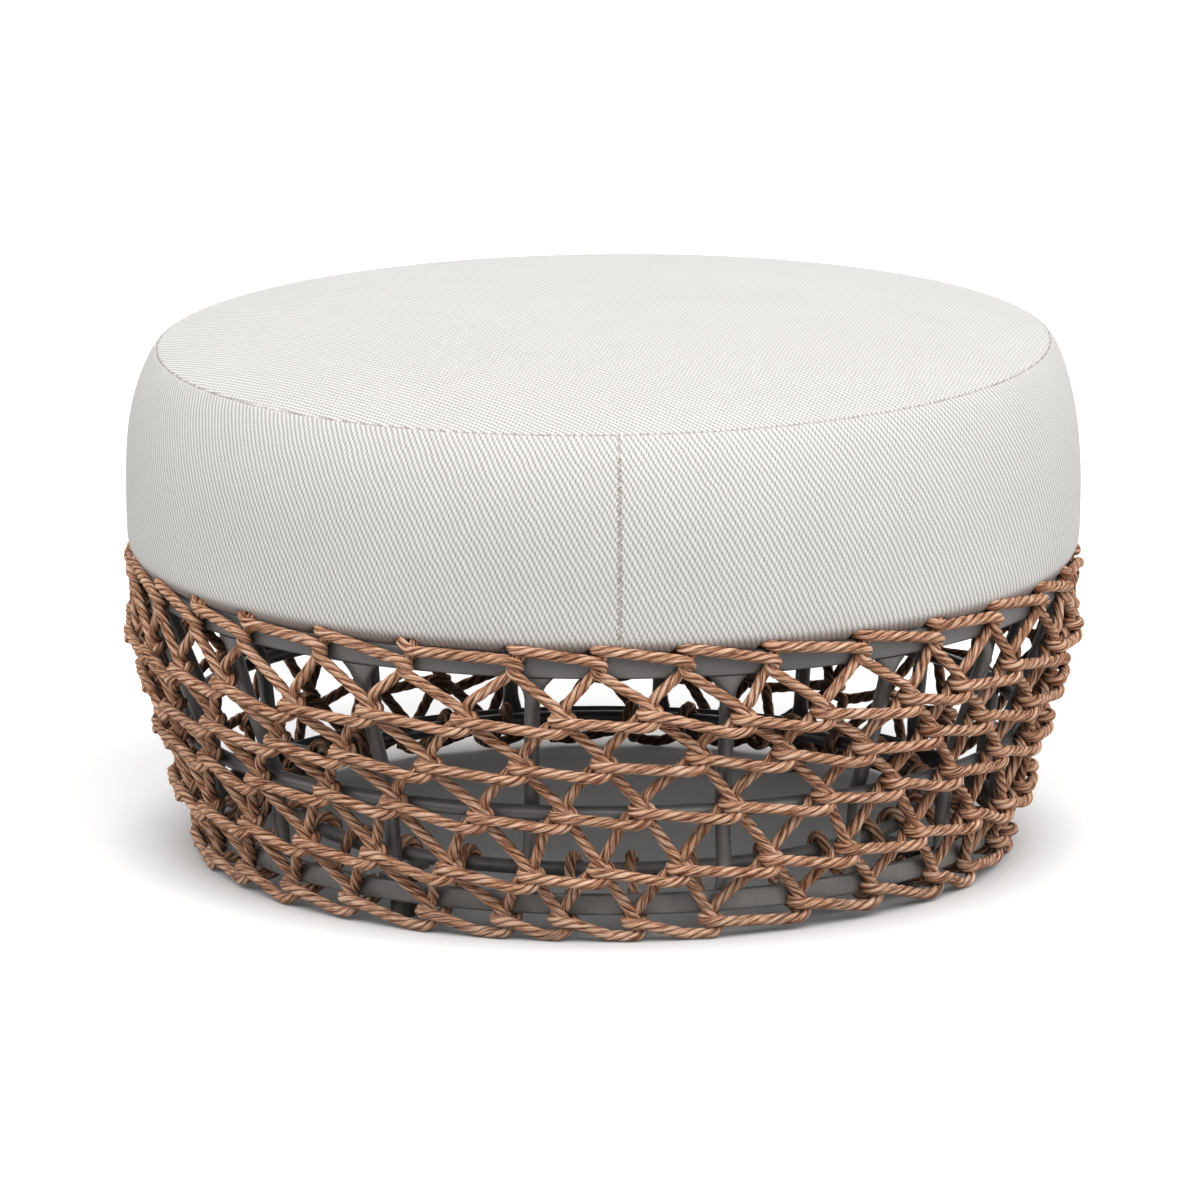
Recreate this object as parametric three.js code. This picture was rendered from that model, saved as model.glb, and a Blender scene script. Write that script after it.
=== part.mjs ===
// Round outdoor footstool: an open rope weave on a metal cage, with a thick loose cushion on top.
// Millimetres, +Z up. The front faces -Y. Azimuths are counted from the front, positive to the right.
import * as THREE from 'three';

// Gaps and rounding shared by all pieces
const seatGap = 0.3;
const fullTurn = 2 * Math.PI;
const degree = Math.PI / 180;

// Rope
const ropeDiameter = 10;
const ropeHalf = ropeDiameter / 2;

// Top hoop: a flat bar rolled on edge
const topHoopOuterRadius = 378;
const topHoopThickness = 5;
const topHoopHeight = 20;
const topHoopBottomZ = 225;
const hoopSegments = 64;

// Bottom hoop: the same bar, drawn in by the cage's taper
const footTaper = 54;
const bottomHoopThickness = 5;
const bottomHoopHeight = 17.5;
const bottomHoopBottomZ = 19.5;

// Middle ring and base ring: round tube
const tubeRadius = 6;
const baseRingInset = 63;
const baseRingRise = 22.1;
const midRingInset = 5;
const tubeSides = 6;
const ringSegments = 48;

// Uprights: bent rods, flared where they meet the hoops. The shares move a rod's end sideways,
// in steps of their even spacing: the rods stand a little unevenly.
const uprightCount = 16;
const uprightRadius = 6.3;
const uprightSides = 6;
const firstUprightAzimuth = -8.5 * degree;
const flareLength = 20;
const flareHalfWidth = 16;
const footFlareHalfWidth = 9;
const flareHalfDepth = 2.2;
const uprightTurnLength = 30;
const uprightTopShares = [0, 0.051, 0.036, -0.147, 0, 0, 0, 0, 0, 0, 0, 0, 0, 0, 0.049, 0];
const uprightFootShares = [-0.096, 0.153, 0.067, -0.07, 0, 0, 0, 0, 0, 0, 0, 0, 0, 0, 0.018, 0];

// Deck slats: flat bars between the sides of the top hoop
const slatSteps = [-4, -2, 0, 2, 4];
const slatWidth = 32;
const slatThickness = 4;
const slatDrop = 3;
const slatArcPoints = 4;

// Spokes and glides under the cage
const spokeCount = 4;
const spokeWidth = 14;
const spokeThickness = 5;
const spokeDrop = 2;
const glideRadius = 11;
const glideFootRadius = 9;
const glideChamfer = 2;
const glideSides = 16;

// Weave: pairs of rope that cross at knots, row by row, from the rim to the foot
const pairCount = 32;
const pairsPerSector = 4;
const cell = fullTurn / pairCount;
const rimAzimuth = -13 * degree;
const rowShiftShare = 0.456;
const knotRadius = 9.6;
const ridgeHeight = 8;
const diagonalFront = 4.5;
const knotStep = 2.5;
const rowOneShare = 0.215;
const rowTwoShare = 0.389;
const rowThreeShare = 0.579;
const rowFourShare = 0.801;
const rowOneBulge = 5.5;
const rowTwoInset = 5;
const rowFourInset = 30;
const rimKnotDrop = 8;
const footKnotDrop = 1;
const hookLength = 15;
const footSag = 10;

// Cushion
const cushionUndersideInset = 2;
const cushionEdgeOverhang = 7;
const cushionEdgeRise = 12;
const cushionWidestOverhang = 12;
const cushionWidestRise = 62.4;
const cushionShoulderOverhang = 5;
const cushionShoulderRise = 124.4;
const cushionSeamInset = 14;
const cushionSeamRise = 163.4;
const crownHeight = 29;
const crownPower = 2.4;
const coverThickness = 1.2;
const cushionSegments = 40;
const foamSegments = 24;
const bandSteps = 6;
const crownSteps = 5;
const crownSpreadShare = 1.5;
const frontSeamAzimuth = 1.6 * degree;

// Zip along the back of the band
const zipTapeHeight = 14;
const zipTapeThickness = 1.2;
const zipHalfAngle = 55 * degree;
const zipRise = 14;
const zipSegments = 20;
const zipSliderLength = 12;
const zipSliderHeight = 9;
const zipSliderThickness = 3;
const zipPullLength = 24;
const zipPullWidth = 5;

// Sizes that follow from the ones above
const topHoopTopZ = topHoopBottomZ + topHoopHeight;
const topHoopInnerRadius = topHoopOuterRadius - topHoopThickness;
const bottomHoopOuterRadius = topHoopOuterRadius - footTaper;
const bottomHoopTopZ = bottomHoopBottomZ + bottomHoopHeight;
const bottomHoopInnerRadius = bottomHoopOuterRadius - bottomHoopThickness;
const baseRingRadius = bottomHoopOuterRadius - baseRingInset;
const baseRingZ = bottomHoopBottomZ + baseRingRise;
const hoopFlat = Math.cos(Math.PI / hoopSegments);
const cellFlat = Math.cos(cell / 2);
const rimRadius = (topHoopOuterRadius + seatGap + ropeHalf) / cellFlat;
const footRadius = (bottomHoopOuterRadius + seatGap + ropeHalf) / cellFlat;
const rowOneRadius = topHoopOuterRadius + rowOneBulge;
const rowTwoRadius = topHoopOuterRadius - rowTwoInset;
const rowFourRadius = topHoopOuterRadius - rowFourInset;
const rowThreeRadius = (rowTwoRadius + rowFourRadius) / 2 + seatGap;
const rimKnotZ = topHoopTopZ - rimKnotDrop;
const footKnotZ = bottomHoopBottomZ - footKnotDrop;
const rowHeight = (share) => THREE.MathUtils.lerp(rimKnotZ, footKnotZ, share);
const midRingRadius = rowThreeRadius * cellFlat - ropeHalf - seatGap - tubeRadius - midRingInset;
const midRingZ = rowHeight(rowThreeShare) - ropeHalf / 2;
const cushionBottomZ = topHoopTopZ + seatGap + ropeDiameter + seatGap;
const cushionUndersideRadius = topHoopOuterRadius - cushionUndersideInset;
const cushionEdgeRadius = topHoopOuterRadius + cushionEdgeOverhang;
const cushionWidestRadius = topHoopOuterRadius + cushionWidestOverhang;
const cushionWidestZ = cushionBottomZ + cushionWidestRise;
const cushionShoulderRadius = topHoopOuterRadius + cushionShoulderOverhang;
const cushionShoulderZ = cushionBottomZ + cushionShoulderRise;
const cushionSeamRadius = topHoopOuterRadius - cushionSeamInset;
const cushionSeamZ = cushionBottomZ + cushionSeamRise;

// Materials
const paint = () => new THREE.MeshStandardMaterial({ color: 0x4a4745, roughness: 0.5, metalness: 0.6 });
const rope = () => new THREE.MeshStandardMaterial({ color: 0xb9805a, roughness: 0.85, metalness: 0 });
const fabric = () => new THREE.MeshStandardMaterial({ color: 0xe4e1da, roughness: 0.95, metalness: 0 });
const foam = () => new THREE.MeshStandardMaterial({ color: 0xf0ead2, roughness: 1, metalness: 0 });
const nylon = () => new THREE.MeshStandardMaterial({ color: 0x26241f, roughness: 0.6, metalness: 0 });
const zipMetal = () => new THREE.MeshStandardMaterial({ color: 0xb8b4ab, roughness: 0.35, metalness: 0.8 });

const part = new THREE.Group();

function add(name, geometry, material) {
  const mesh = new THREE.Mesh(geometry, material);
  mesh.name = name;
  part.add(mesh);
  return mesh;
}

// Point at an azimuth, a radius and a height
function polar(azimuth, radius, z) {
  return new THREE.Vector3(radius * Math.sin(azimuth), -radius * Math.cos(azimuth), z);
}

// Outward direction, direction to the right and upward direction at an azimuth
function frameAt(azimuth) {
  return {
    out: polar(azimuth, 1, 0),
    right: new THREE.Vector3(Math.cos(azimuth), Math.sin(azimuth), 0),
    up: new THREE.Vector3(0, 0, 1),
  };
}

function toGeometry(points, faces) {
  const geometry = new THREE.BufferGeometry();
  const positions = new Float32Array(points.flatMap((point) => point.toArray()));
  geometry.setAttribute('position', new THREE.BufferAttribute(positions, 3));
  geometry.setIndex(faces.flat());
  return geometry;
}

// Closed profile of [radius, z] turned about the Z axis
function turned(profile, segments, start = 0, sweep = fullTurn) {
  const points = profile.map(([radius, z]) => new THREE.Vector2(radius, z));
  const geometry = new THREE.LatheGeometry(points, segments, start, sweep);
  geometry.rotateX(Math.PI / 2);
  return geometry;
}

// Flat bar hoop
function hoop(outerRadius, thickness, bottomZ, height) {
  const innerRadius = outerRadius - thickness;
  const topZ = bottomZ + height;
  return turned([
    [innerRadius, bottomZ],
    [outerRadius, bottomZ],
    [outerRadius, topZ],
    [innerRadius, topZ],
    [innerRadius, bottomZ],
  ], hoopSegments);
}

// Round tube ring
function tubeRing(radius, z) {
  const geometry = new THREE.TorusGeometry(radius, tubeRadius, tubeSides, ringSegments);
  geometry.translate(0, 0, z);
  return geometry;
}

// Rings of equal point counts joined into one closed solid
function lofted(rings) {
  const points = rings.flat();
  const sides = rings[0].length;
  const faces = [];
  for (let ring = 0; ring < rings.length - 1; ring += 1) {
    for (let side = 0; side < sides; side += 1) {
      const next = (side + 1) % sides;
      const a = ring * sides + side;
      const b = ring * sides + next;
      faces.push([a, b, b + sides], [a, b + sides, a + sides]);
    }
  }
  const last = (rings.length - 1) * sides;
  for (let side = 1; side < sides - 1; side += 1) {
    faces.push([0, side + 1, side], [last, last + side, last + side + 1]);
  }
  return toGeometry(points, faces);
}

// Upright: centre radius at a height, straight at both ends and drawn in behind the middle ring
const uprightBottomZ = bottomHoopTopZ + seatGap;
const uprightTopZ = topHoopBottomZ - seatGap;
const uprightBottomRadius = bottomHoopOuterRadius - bottomHoopThickness / 2;
const uprightTopRadius = topHoopOuterRadius - topHoopThickness / 2;
const ringFlat = Math.cos(Math.PI / ringSegments);
const uprightMidRadius = (midRingRadius - tubeRadius) * ringFlat - seatGap - uprightRadius;

function uprightCurve() {
  const lower = uprightBottomZ + uprightTurnLength;
  const upper = uprightTopZ - uprightTurnLength;
  const lowerShare = (lower - uprightBottomZ) / (midRingZ - uprightBottomZ);
  const upperShare = (upper - midRingZ) / (uprightTopZ - midRingZ);
  return new THREE.CatmullRomCurve3([
    new THREE.Vector3(uprightBottomRadius, 0, uprightBottomZ),
    new THREE.Vector3(THREE.MathUtils.lerp(uprightBottomRadius, uprightMidRadius, lowerShare), 0, lower),
    new THREE.Vector3(uprightMidRadius, 0, midRingZ),
    new THREE.Vector3(THREE.MathUtils.lerp(uprightMidRadius, uprightTopRadius, upperShare), 0, upper),
    new THREE.Vector3(uprightTopRadius, 0, uprightTopZ),
  ]);
}

function upright(footAzimuth, topAzimuth) {
  const curve = uprightCurve();
  const spans = curve.points.length - 1;
  const flareStart = 1 - flareLength / uprightTurnLength / spans;
  const footFlareEnd = (1 - flareStart) / 2;
  const stations = [0, footFlareEnd, 1 / spans, 2 / spans, 3 / spans, flareStart, (flareStart + 1) / 2, 1];
  const rings = stations.map((station) => {
    const place = curve.getPoint(station);
    const rise = (place.z - uprightBottomZ) / (uprightTopZ - uprightBottomZ);
    const { out, right } = frameAt(THREE.MathUtils.lerp(footAzimuth, topAzimuth, rise));
    const topFlare = Math.max(0, (station - flareStart) / (1 - flareStart)) ** 2;
    const footFlare = Math.max(0, 1 - station / footFlareEnd);
    const endHalfWidth = station < 1 / spans ? footFlareHalfWidth : flareHalfWidth;
    const flare = Math.max(topFlare, footFlare);
    const halfWidth = THREE.MathUtils.lerp(uprightRadius, endHalfWidth, flare);
    const halfDepth = THREE.MathUtils.lerp(uprightRadius, flareHalfDepth, flare);
    const ring = [];
    for (let side = 0; side < uprightSides; side += 1) {
      const angle = (side / uprightSides) * fullTurn;
      const point = out.clone().multiplyScalar(place.x + halfDepth * Math.cos(angle));
      point.addScaledVector(right, halfWidth * Math.sin(angle));
      point.z = place.z;
      ring.push(point);
    }
    return ring;
  });
  return lofted(rings);
}

// Slat: a flat bar with round ends that follow the inside of the top hoop
function slat(step) {
  const reach = topHoopInnerRadius * hoopFlat - seatGap;
  const offset = topHoopInnerRadius * Math.sin(step * cell);
  const low = Math.asin((offset - slatWidth / 2) / reach);
  const high = Math.asin((offset + slatWidth / 2) / reach);
  const shape = new THREE.Shape();
  const outline = [];
  for (let index = 0; index <= slatArcPoints; index += 1) {
    const angle = THREE.MathUtils.lerp(low, high, index / slatArcPoints);
    outline.push(new THREE.Vector2(reach * Math.sin(angle), reach * Math.cos(angle)));
  }
  for (let index = slatArcPoints; index >= 0; index -= 1) {
    const angle = THREE.MathUtils.lerp(low, high, index / slatArcPoints);
    outline.push(new THREE.Vector2(reach * Math.sin(angle), -reach * Math.cos(angle)));
  }
  shape.setFromPoints(outline);
  const geometry = new THREE.ExtrudeGeometry(shape, { depth: slatThickness, bevelEnabled: false });
  geometry.translate(0, 0, topHoopTopZ - slatDrop - slatThickness);
  return geometry;
}

// Spoke: a flat bar from the base ring to the inside of the bottom hoop
const spokeInnerRadius = baseRingRadius + tubeRadius + seatGap;
const spokeCornerRadius = bottomHoopInnerRadius * hoopFlat - seatGap;
const spokeOuterRadius = Math.sqrt(spokeCornerRadius ** 2 - (spokeWidth / 2) ** 2);
const spokeTopZ = baseRingZ - spokeDrop;
const spokeBottomZ = spokeTopZ - spokeThickness;

function spoke(azimuth) {
  const length = spokeOuterRadius - spokeInnerRadius;
  const geometry = new THREE.BoxGeometry(spokeWidth, length, spokeThickness);
  geometry.translate(0, -(spokeInnerRadius + length / 2), (spokeTopZ + spokeBottomZ) / 2);
  geometry.rotateZ(azimuth);
  return geometry;
}

// Glide: a turned foot under a spoke
function glide(azimuth) {
  const topZ = spokeBottomZ - seatGap;
  const geometry = turned([
    [0, 0],
    [glideFootRadius, 0],
    [glideRadius, glideChamfer],
    [glideRadius, topZ],
    [0, topZ],
  ], glideSides);
  const place = polar(azimuth, (spokeInnerRadius + spokeOuterRadius) / 2, 0);
  geometry.translate(place.x, place.y, place.z);
  return geometry;
}

// Rows of knots, from the rim to the foot
const rows = [
  { radius: rimRadius, z: rimKnotZ },
  { radius: rowOneRadius, z: rowHeight(rowOneShare) },
  { radius: rowTwoRadius, z: rowHeight(rowTwoShare) },
  { radius: rowThreeRadius, z: rowHeight(rowThreeShare) },
  { radius: rowFourRadius, z: rowHeight(rowFourShare) },
  { radius: footRadius, z: footKnotZ },
];

const sideNames = ['right', 'upRight', 'upLeft', 'left', 'downLeft', 'downRight'];
const mouthCount = sideNames.length;
const mouthTurn = fullTurn / mouthCount;

// A run of rope of four-sided section, through loops of four point indices
function ropeSkin(faces, loops) {
  for (let index = 0; index < loops.length - 1; index += 1) {
    const from = loops[index];
    const to = loops[index + 1];
    for (let side = 0; side < 4; side += 1) {
      const next = (side + 1) % 4;
      faces.push([from[side], to[side], to[next]], [from[side], to[next], from[next]]);
    }
  }
}

function ropeEnd(faces, loop) {
  faces.push([loop[3], loop[2], loop[1]], [loop[3], loop[1], loop[0]]);
}

// A knot: six mouths round a raised boss, one for each rope that leaves it
function knot(points, azimuth, { radius, z }) {
  const { out, right, up } = frameAt(azimuth);
  const centre = polar(azimuth, radius, z);
  const corners = [];
  const fronts = [];
  const backs = [];
  const mouthReach = knotRadius * Math.cos(mouthTurn / 2);
  for (let side = 0; side < mouthCount; side += 1) {
    const cornerAngle = (side + 0.5) * mouthTurn;
    const corner = centre.clone().addScaledVector(right, knotRadius * Math.cos(cornerAngle));
    corner.addScaledVector(up, knotRadius * Math.sin(cornerAngle));
    corners.push(points.push(corner) - 1);
    const mouthAngle = side * mouthTurn;
    const mouth = centre.clone();
    mouth.addScaledVector(right, mouthReach * Math.cos(mouthAngle));
    mouth.addScaledVector(up, mouthReach * Math.sin(mouthAngle));
    const crosses = side === 0 || side === 3;
    const step = side === 0 ? knotStep : side === 3 ? -knotStep : 0;
    const front = mouth.clone().addScaledVector(out, crosses ? ridgeHeight : diagonalFront);
    front.addScaledVector(up, step);
    fronts.push(points.push(front) - 1);
    backs.push(points.push(mouth.clone().addScaledVector(out, -ropeHalf)) - 1);
  }
  const mouths = {};
  sideNames.forEach((name, side) => {
    const before = (side + mouthCount - 1) % mouthCount;
    mouths[name] = [corners[before], fronts[side], corners[side], backs[side]];
  });
  return { mouths, corners, fronts, backs, used: new Set() };
}

function closeKnot(faces, { mouths, corners, fronts, backs, used }) {
  for (let side = 0; side < mouthCount; side += 1) {
    const next = (side + 1) % mouthCount;
    faces.push([fronts[side], corners[side], fronts[next]], [corners[side], backs[side], backs[next]]);
  }
  faces.push([fronts[0], fronts[1], fronts[2]], [fronts[0], fronts[2], fronts[3]]);
  faces.push([fronts[0], fronts[3], fronts[4]], [fronts[0], fronts[4], fronts[5]]);
  for (let side = 1; side < mouthCount - 1; side += 1) {
    faces.push([backs[0], backs[side + 1], backs[side]]);
  }
  sideNames.filter((name) => !used.has(name)).forEach((name) => {
    const mouth = mouths[name];
    faces.push([mouth[2], mouth[1], mouth[0]], [mouth[2], mouth[0], mouth[3]]);
  });
}

// The far knot's mouth, in the order that a rope from the near knot meets it
function arriving(mouth) {
  return [mouth[2], mouth[1], mouth[0], mouth[3]];
}

// A four-point loop about a centre: across the rope and through it
function loopAt(points, centre, across, through, front = ropeHalf) {
  return [
    points.push(centre.clone().addScaledVector(across, -ropeHalf)) - 1,
    points.push(centre.clone().addScaledVector(through, front)) - 1,
    points.push(centre.clone().addScaledVector(across, ropeHalf)) - 1,
    points.push(centre.clone().addScaledVector(through, -ropeHalf)) - 1,
  ];
}

// Middle of the rope between two mouths, drawn back to leave half a gap
function halfway(points, mouth, far, lowered) {
  return mouth.map((index, corner) => {
    const from = points[index];
    const to = far[corner];
    const length = from.distanceTo(to);
    const middle = from.clone().lerp(to, 0.5 - seatGap / 2 / length);
    middle.z -= lowered;
    return points.push(middle) - 1;
  });
}

// Over the top edge of the top hoop and down its inner face
function rimHook(points, faces, knotHere, azimuth) {
  const lean = -ropeHalf / rimRadius;
  const { out, right, up } = frameAt(azimuth + lean);
  const across = right.clone().negate();
  const inward = out.clone().negate();
  const topZ = topHoopTopZ + seatGap + ropeHalf;
  const middleRadius = (topHoopOuterRadius + topHoopInnerRadius) / 2;
  const innerRadius = topHoopInnerRadius * hoopFlat - seatGap - ropeHalf;
  const loops = [
    knotHere.mouths.upLeft,
    loopAt(points, polar(azimuth + lean, rimRadius, topZ - ropeHalf), across, out),
    loopAt(points, polar(azimuth + lean, middleRadius, topZ), across, up),
    loopAt(points, polar(azimuth + lean, innerRadius, topZ - ropeHalf), across, inward),
    loopAt(points, polar(azimuth + lean, innerRadius, topZ - ropeHalf - hookLength), across, inward),
  ];
  knotHere.used.add('upLeft');
  ropeSkin(faces, loops);
  ropeEnd(faces, loops[loops.length - 1]);
}

// Under the bottom hoop, inward, and once round the base ring
function footTail(points, faces, knotHere, azimuth) {
  const { out, right, up } = frameAt(azimuth);
  const down = up.clone().negate();
  const slanted = out.clone().add(down).normalize();
  const wrapStep = fullTurn / 6;
  const wrap = (tubeRadius + 2 * seatGap) / Math.cos(wrapStep / 2) + ropeHalf;
  const loops = [
    knotHere.mouths.downLeft,
    loopAt(points, polar(azimuth, footRadius - ropeHalf, footKnotZ - knotRadius), right, slanted),
    loopAt(points, polar(azimuth, bottomHoopInnerRadius - ropeDiameter, footKnotZ - ropeHalf), right, down),
  ];
  for (let turn = 0; turn < 5; turn += 1) {
    const angle = -fullTurn / 4 - turn * wrapStep;
    const away = out.clone().multiplyScalar(Math.cos(angle)).addScaledVector(up, Math.sin(angle));
    const centre = polar(azimuth, baseRingRadius, baseRingZ).addScaledVector(away, wrap);
    loops.push(loopAt(points, centre, right, away));
  }
  knotHere.used.add('downLeft');
  ropeSkin(faces, loops);
  ropeEnd(faces, loops[loops.length - 1]);
}

// Azimuth of a knot
function columnAzimuth(row, column) {
  return rimAzimuth + cell * (column - rowShiftShare * row);
}

// One sector of the weave: a few columns of knots, with half ropes out to its neighbours
function weaveSector(firstColumn) {
  const points = [];
  const faces = [];
  const grid = rows.map((row, rowIndex) => {
    const line = [];
    for (let index = 0; index < pairsPerSector; index += 1) {
      line.push(knot(points, columnAzimuth(rowIndex, firstColumn + index), row));
    }
    return line;
  });
  const outside = (rowIndex, column) => {
    const loose = [];
    const ghost = knot(loose, columnAzimuth(rowIndex, column), rows[rowIndex]);
    return { ghost, loose };
  };
  const join = (near, nearSide, far, farSide, sag) => {
    near.used.add(nearSide);
    far.used.add(farSide);
    const loops = [near.mouths[nearSide], arriving(far.mouths[farSide])];
    if (sag) {
      const ends = loops.map((loop) => loop.map((index) => points[index]));
      const middle = ends[0].map((point, corner) => point.clone().lerp(ends[1][corner], 0.5));
      middle.forEach((point) => { point.z -= sag; });
      loops.splice(1, 0, middle.map((point) => points.push(point) - 1));
    }
    ropeSkin(faces, loops);
  };
  const reachOut = (near, nearSide, rowIndex, column, farSide, sag) => {
    near.used.add(nearSide);
    const { ghost, loose } = outside(rowIndex, column);
    const far = arriving(ghost.mouths[farSide]).map((index) => loose[index]);
    const end = halfway(points, near.mouths[nearSide], far, sag);
    ropeSkin(faces, [near.mouths[nearSide], end]);
    ropeEnd(faces, end);
  };
  const last = pairsPerSector - 1;
  for (let row = 0; row < rows.length; row += 1) {
    const sag = row === rows.length - 1 ? footSag : 0;
    for (let index = 0; index < last; index += 1) {
      join(grid[row][index], 'right', grid[row][index + 1], 'left', sag);
    }
    reachOut(grid[row][last], 'right', row, firstColumn + pairsPerSector, 'left', sag);
    reachOut(grid[row][0], 'left', row, firstColumn - 1, 'right', sag);
  }
  for (let row = 0; row < rows.length - 1; row += 1) {
    for (let index = 0; index < pairsPerSector; index += 1) {
      join(grid[row][index], 'downLeft', grid[row + 1][index], 'upRight', 0);
    }
    for (let index = 0; index < last; index += 1) {
      join(grid[row][index], 'downRight', grid[row + 1][index + 1], 'upLeft', 0);
    }
    reachOut(grid[row][last], 'downRight', row + 1, firstColumn + pairsPerSector, 'upLeft', 0);
    reachOut(grid[row + 1][0], 'upLeft', row, firstColumn - 1, 'downRight', 0);
  }
  const foot = rows.length - 1;
  for (let index = 0; index < pairsPerSector; index += 1) {
    rimHook(points, faces, grid[0][index], columnAzimuth(0, firstColumn + index));
    footTail(points, faces, grid[foot][index], columnAzimuth(foot, firstColumn + index));
  }
  grid.flat().forEach((knotHere) => closeKnot(faces, knotHere));
  return toGeometry(points, faces);
}

// Outline of the cushion's band, from its lower edge to the seam, drawn in by an inset
function bandOutline(inset) {
  const lowerZ = cushionBottomZ + cushionEdgeRise;
  const curve = new THREE.CatmullRomCurve3([
    new THREE.Vector3(cushionEdgeRadius - inset, lowerZ, 0),
    new THREE.Vector3(cushionWidestRadius - inset, cushionWidestZ, 0),
    new THREE.Vector3(cushionShoulderRadius - inset, cushionShoulderZ, 0),
    new THREE.Vector3(cushionSeamRadius - inset, cushionSeamZ, 0),
  ]);
  return curve.getPoints(bandSteps).map((point) => [point.x, point.y]);
}

// Radius of the band's outside at a height
function bandRadiusAt(z) {
  const outline = bandOutline(0);
  const above = outline.findIndex((point) => point[1] >= z);
  const [lowRadius, lowZ] = outline[above - 1];
  const [highRadius, highZ] = outline[above];
  return THREE.MathUtils.mapLinear(z, lowZ, highZ, lowRadius, highRadius);
}

// Outline of the crown, from the seam to the axis, at a depth under the top face
function crownOutline(radius, depth) {
  const outline = [];
  for (let index = 0; index <= crownSteps; index += 1) {
    const share = 1 - (index / crownSteps) ** crownSpreadShare;
    const z = cushionSeamZ - depth + crownHeight * (1 - share ** crownPower);
    outline.push([radius * share, z]);
  }
  return outline;
}

// Top panel of the cover
function coverTop() {
  const outer = crownOutline(cushionSeamRadius, -seatGap);
  const inner = crownOutline(cushionSeamRadius, coverThickness - seatGap);
  return turned([...inner.reverse(), ...outer], cushionSegments);
}

// Half of the side band, from the front seam round to the back seam
function coverBand(start, sweep) {
  const outer = bandOutline(0);
  const inner = bandOutline(coverThickness);
  outer[outer.length - 1][1] -= coverThickness;
  inner[inner.length - 1][1] -= coverThickness;
  const points = [];
  const section = [...outer, ...inner.reverse()];
  const steps = cushionSegments / 2;
  const rings = [];
  for (let index = 0; index <= steps; index += 1) {
    const azimuth = start + (sweep * index) / steps;
    rings.push(section.map(([radius, z]) => polar(azimuth, radius, z)));
  }
  points.push(...rings.flat());
  const count = section.length;
  const faces = [];
  for (let ring = 0; ring < steps; ring += 1) {
    for (let side = 0; side < count; side += 1) {
      const next = (side + 1) % count;
      const a = ring * count + side;
      const b = ring * count + next;
      faces.push([a, b + count, b], [a, a + count, b + count]);
    }
  }
  const half = outer.length;
  const cap = (offset, flip) => {
    for (let side = 0; side < half - 1; side += 1) {
      const quad = [side, side + 1, count - 2 - side, count - 1 - side].map((index) => index + offset);
      const pair = [[quad[0], quad[1], quad[2]], [quad[0], quad[2], quad[3]]];
      faces.push(...pair.map((face) => (flip ? face.reverse() : face)));
    }
  };
  cap(0, false);
  cap(steps * count, true);
  return toGeometry(points, faces);
}

// Bottom panel of the cover, with its rounded edge
function coverBottom() {
  const lowerZ = cushionBottomZ + cushionEdgeRise - seatGap;
  const roundRadius = (cushionUndersideRadius + cushionEdgeRadius * 2) / 3;
  const roundZ = cushionBottomZ + cushionEdgeRise / 3;
  return turned([
    [0, cushionBottomZ],
    [cushionUndersideRadius, cushionBottomZ],
    [roundRadius, roundZ],
    [cushionEdgeRadius, lowerZ],
    [cushionEdgeRadius - coverThickness, lowerZ],
    [roundRadius - coverThickness, roundZ + coverThickness],
    [cushionUndersideRadius, cushionBottomZ + coverThickness],
    [0, cushionBottomZ + coverThickness],
  ], cushionSegments);
}

// Foam core, filling the cover
function foamCore() {
  const shrink = Math.cos(Math.PI / cushionSegments);
  const fit = (radius) => radius * shrink - coverThickness - seatGap * 2;
  const lowerZ = cushionBottomZ + coverThickness + seatGap * 2;
  const side = bandOutline(0).slice(0, -1).map(([radius, z]) => [fit(radius), z]);
  const crown = crownOutline(fit(cushionSeamRadius) - coverThickness, coverThickness + seatGap * 2);
  return turned([
    [0, lowerZ],
    [fit(cushionUndersideRadius), lowerZ],
    ...side,
    ...crown,
  ], foamSegments);
}

// Zip: a tape on the back of the band, and its slider
const zipZ = cushionBottomZ + cushionEdgeRise + zipRise;
const zipLowZ = zipZ - zipTapeHeight / 2;
const zipHighZ = zipZ + zipTapeHeight / 2;
const bandAtZip = Math.max(bandRadiusAt(zipLowZ), bandRadiusAt(zipHighZ));
const zipRadius = (bandAtZip + seatGap) / Math.cos(zipHalfAngle / zipSegments);

function zipTape() {
  const rings = [];
  for (let index = 0; index <= zipSegments; index += 1) {
    const azimuth = Math.PI - zipHalfAngle + (2 * zipHalfAngle * index) / zipSegments;
    rings.push([
      polar(azimuth, zipRadius, zipLowZ),
      polar(azimuth, zipRadius, zipHighZ),
      polar(azimuth, zipRadius + zipTapeThickness, zipHighZ),
      polar(azimuth, zipRadius + zipTapeThickness, zipLowZ),
    ]);
  }
  return lofted(rings);
}

function zipSlider() {
  const shape = new THREE.Shape();
  shape.moveTo(-zipSliderHeight / 2, 0);
  shape.lineTo(-zipPullWidth / 2, zipSliderLength);
  shape.lineTo(-zipPullWidth / 2, zipPullLength + zipSliderLength);
  shape.lineTo(zipPullWidth / 2, zipPullLength + zipSliderLength);
  shape.lineTo(zipPullWidth / 2, zipSliderLength);
  shape.lineTo(zipSliderHeight / 2, 0);
  const geometry = new THREE.ExtrudeGeometry(shape, { depth: zipSliderThickness, bevelEnabled: false });
  geometry.rotateX(Math.PI / 2);
  geometry.rotateY(Math.PI / 2);
  const azimuth = Math.PI - zipHalfAngle;
  geometry.translate(0, -(zipRadius + zipTapeThickness + seatGap), zipZ);
  geometry.rotateZ(azimuth);
  return geometry;
}

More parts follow.
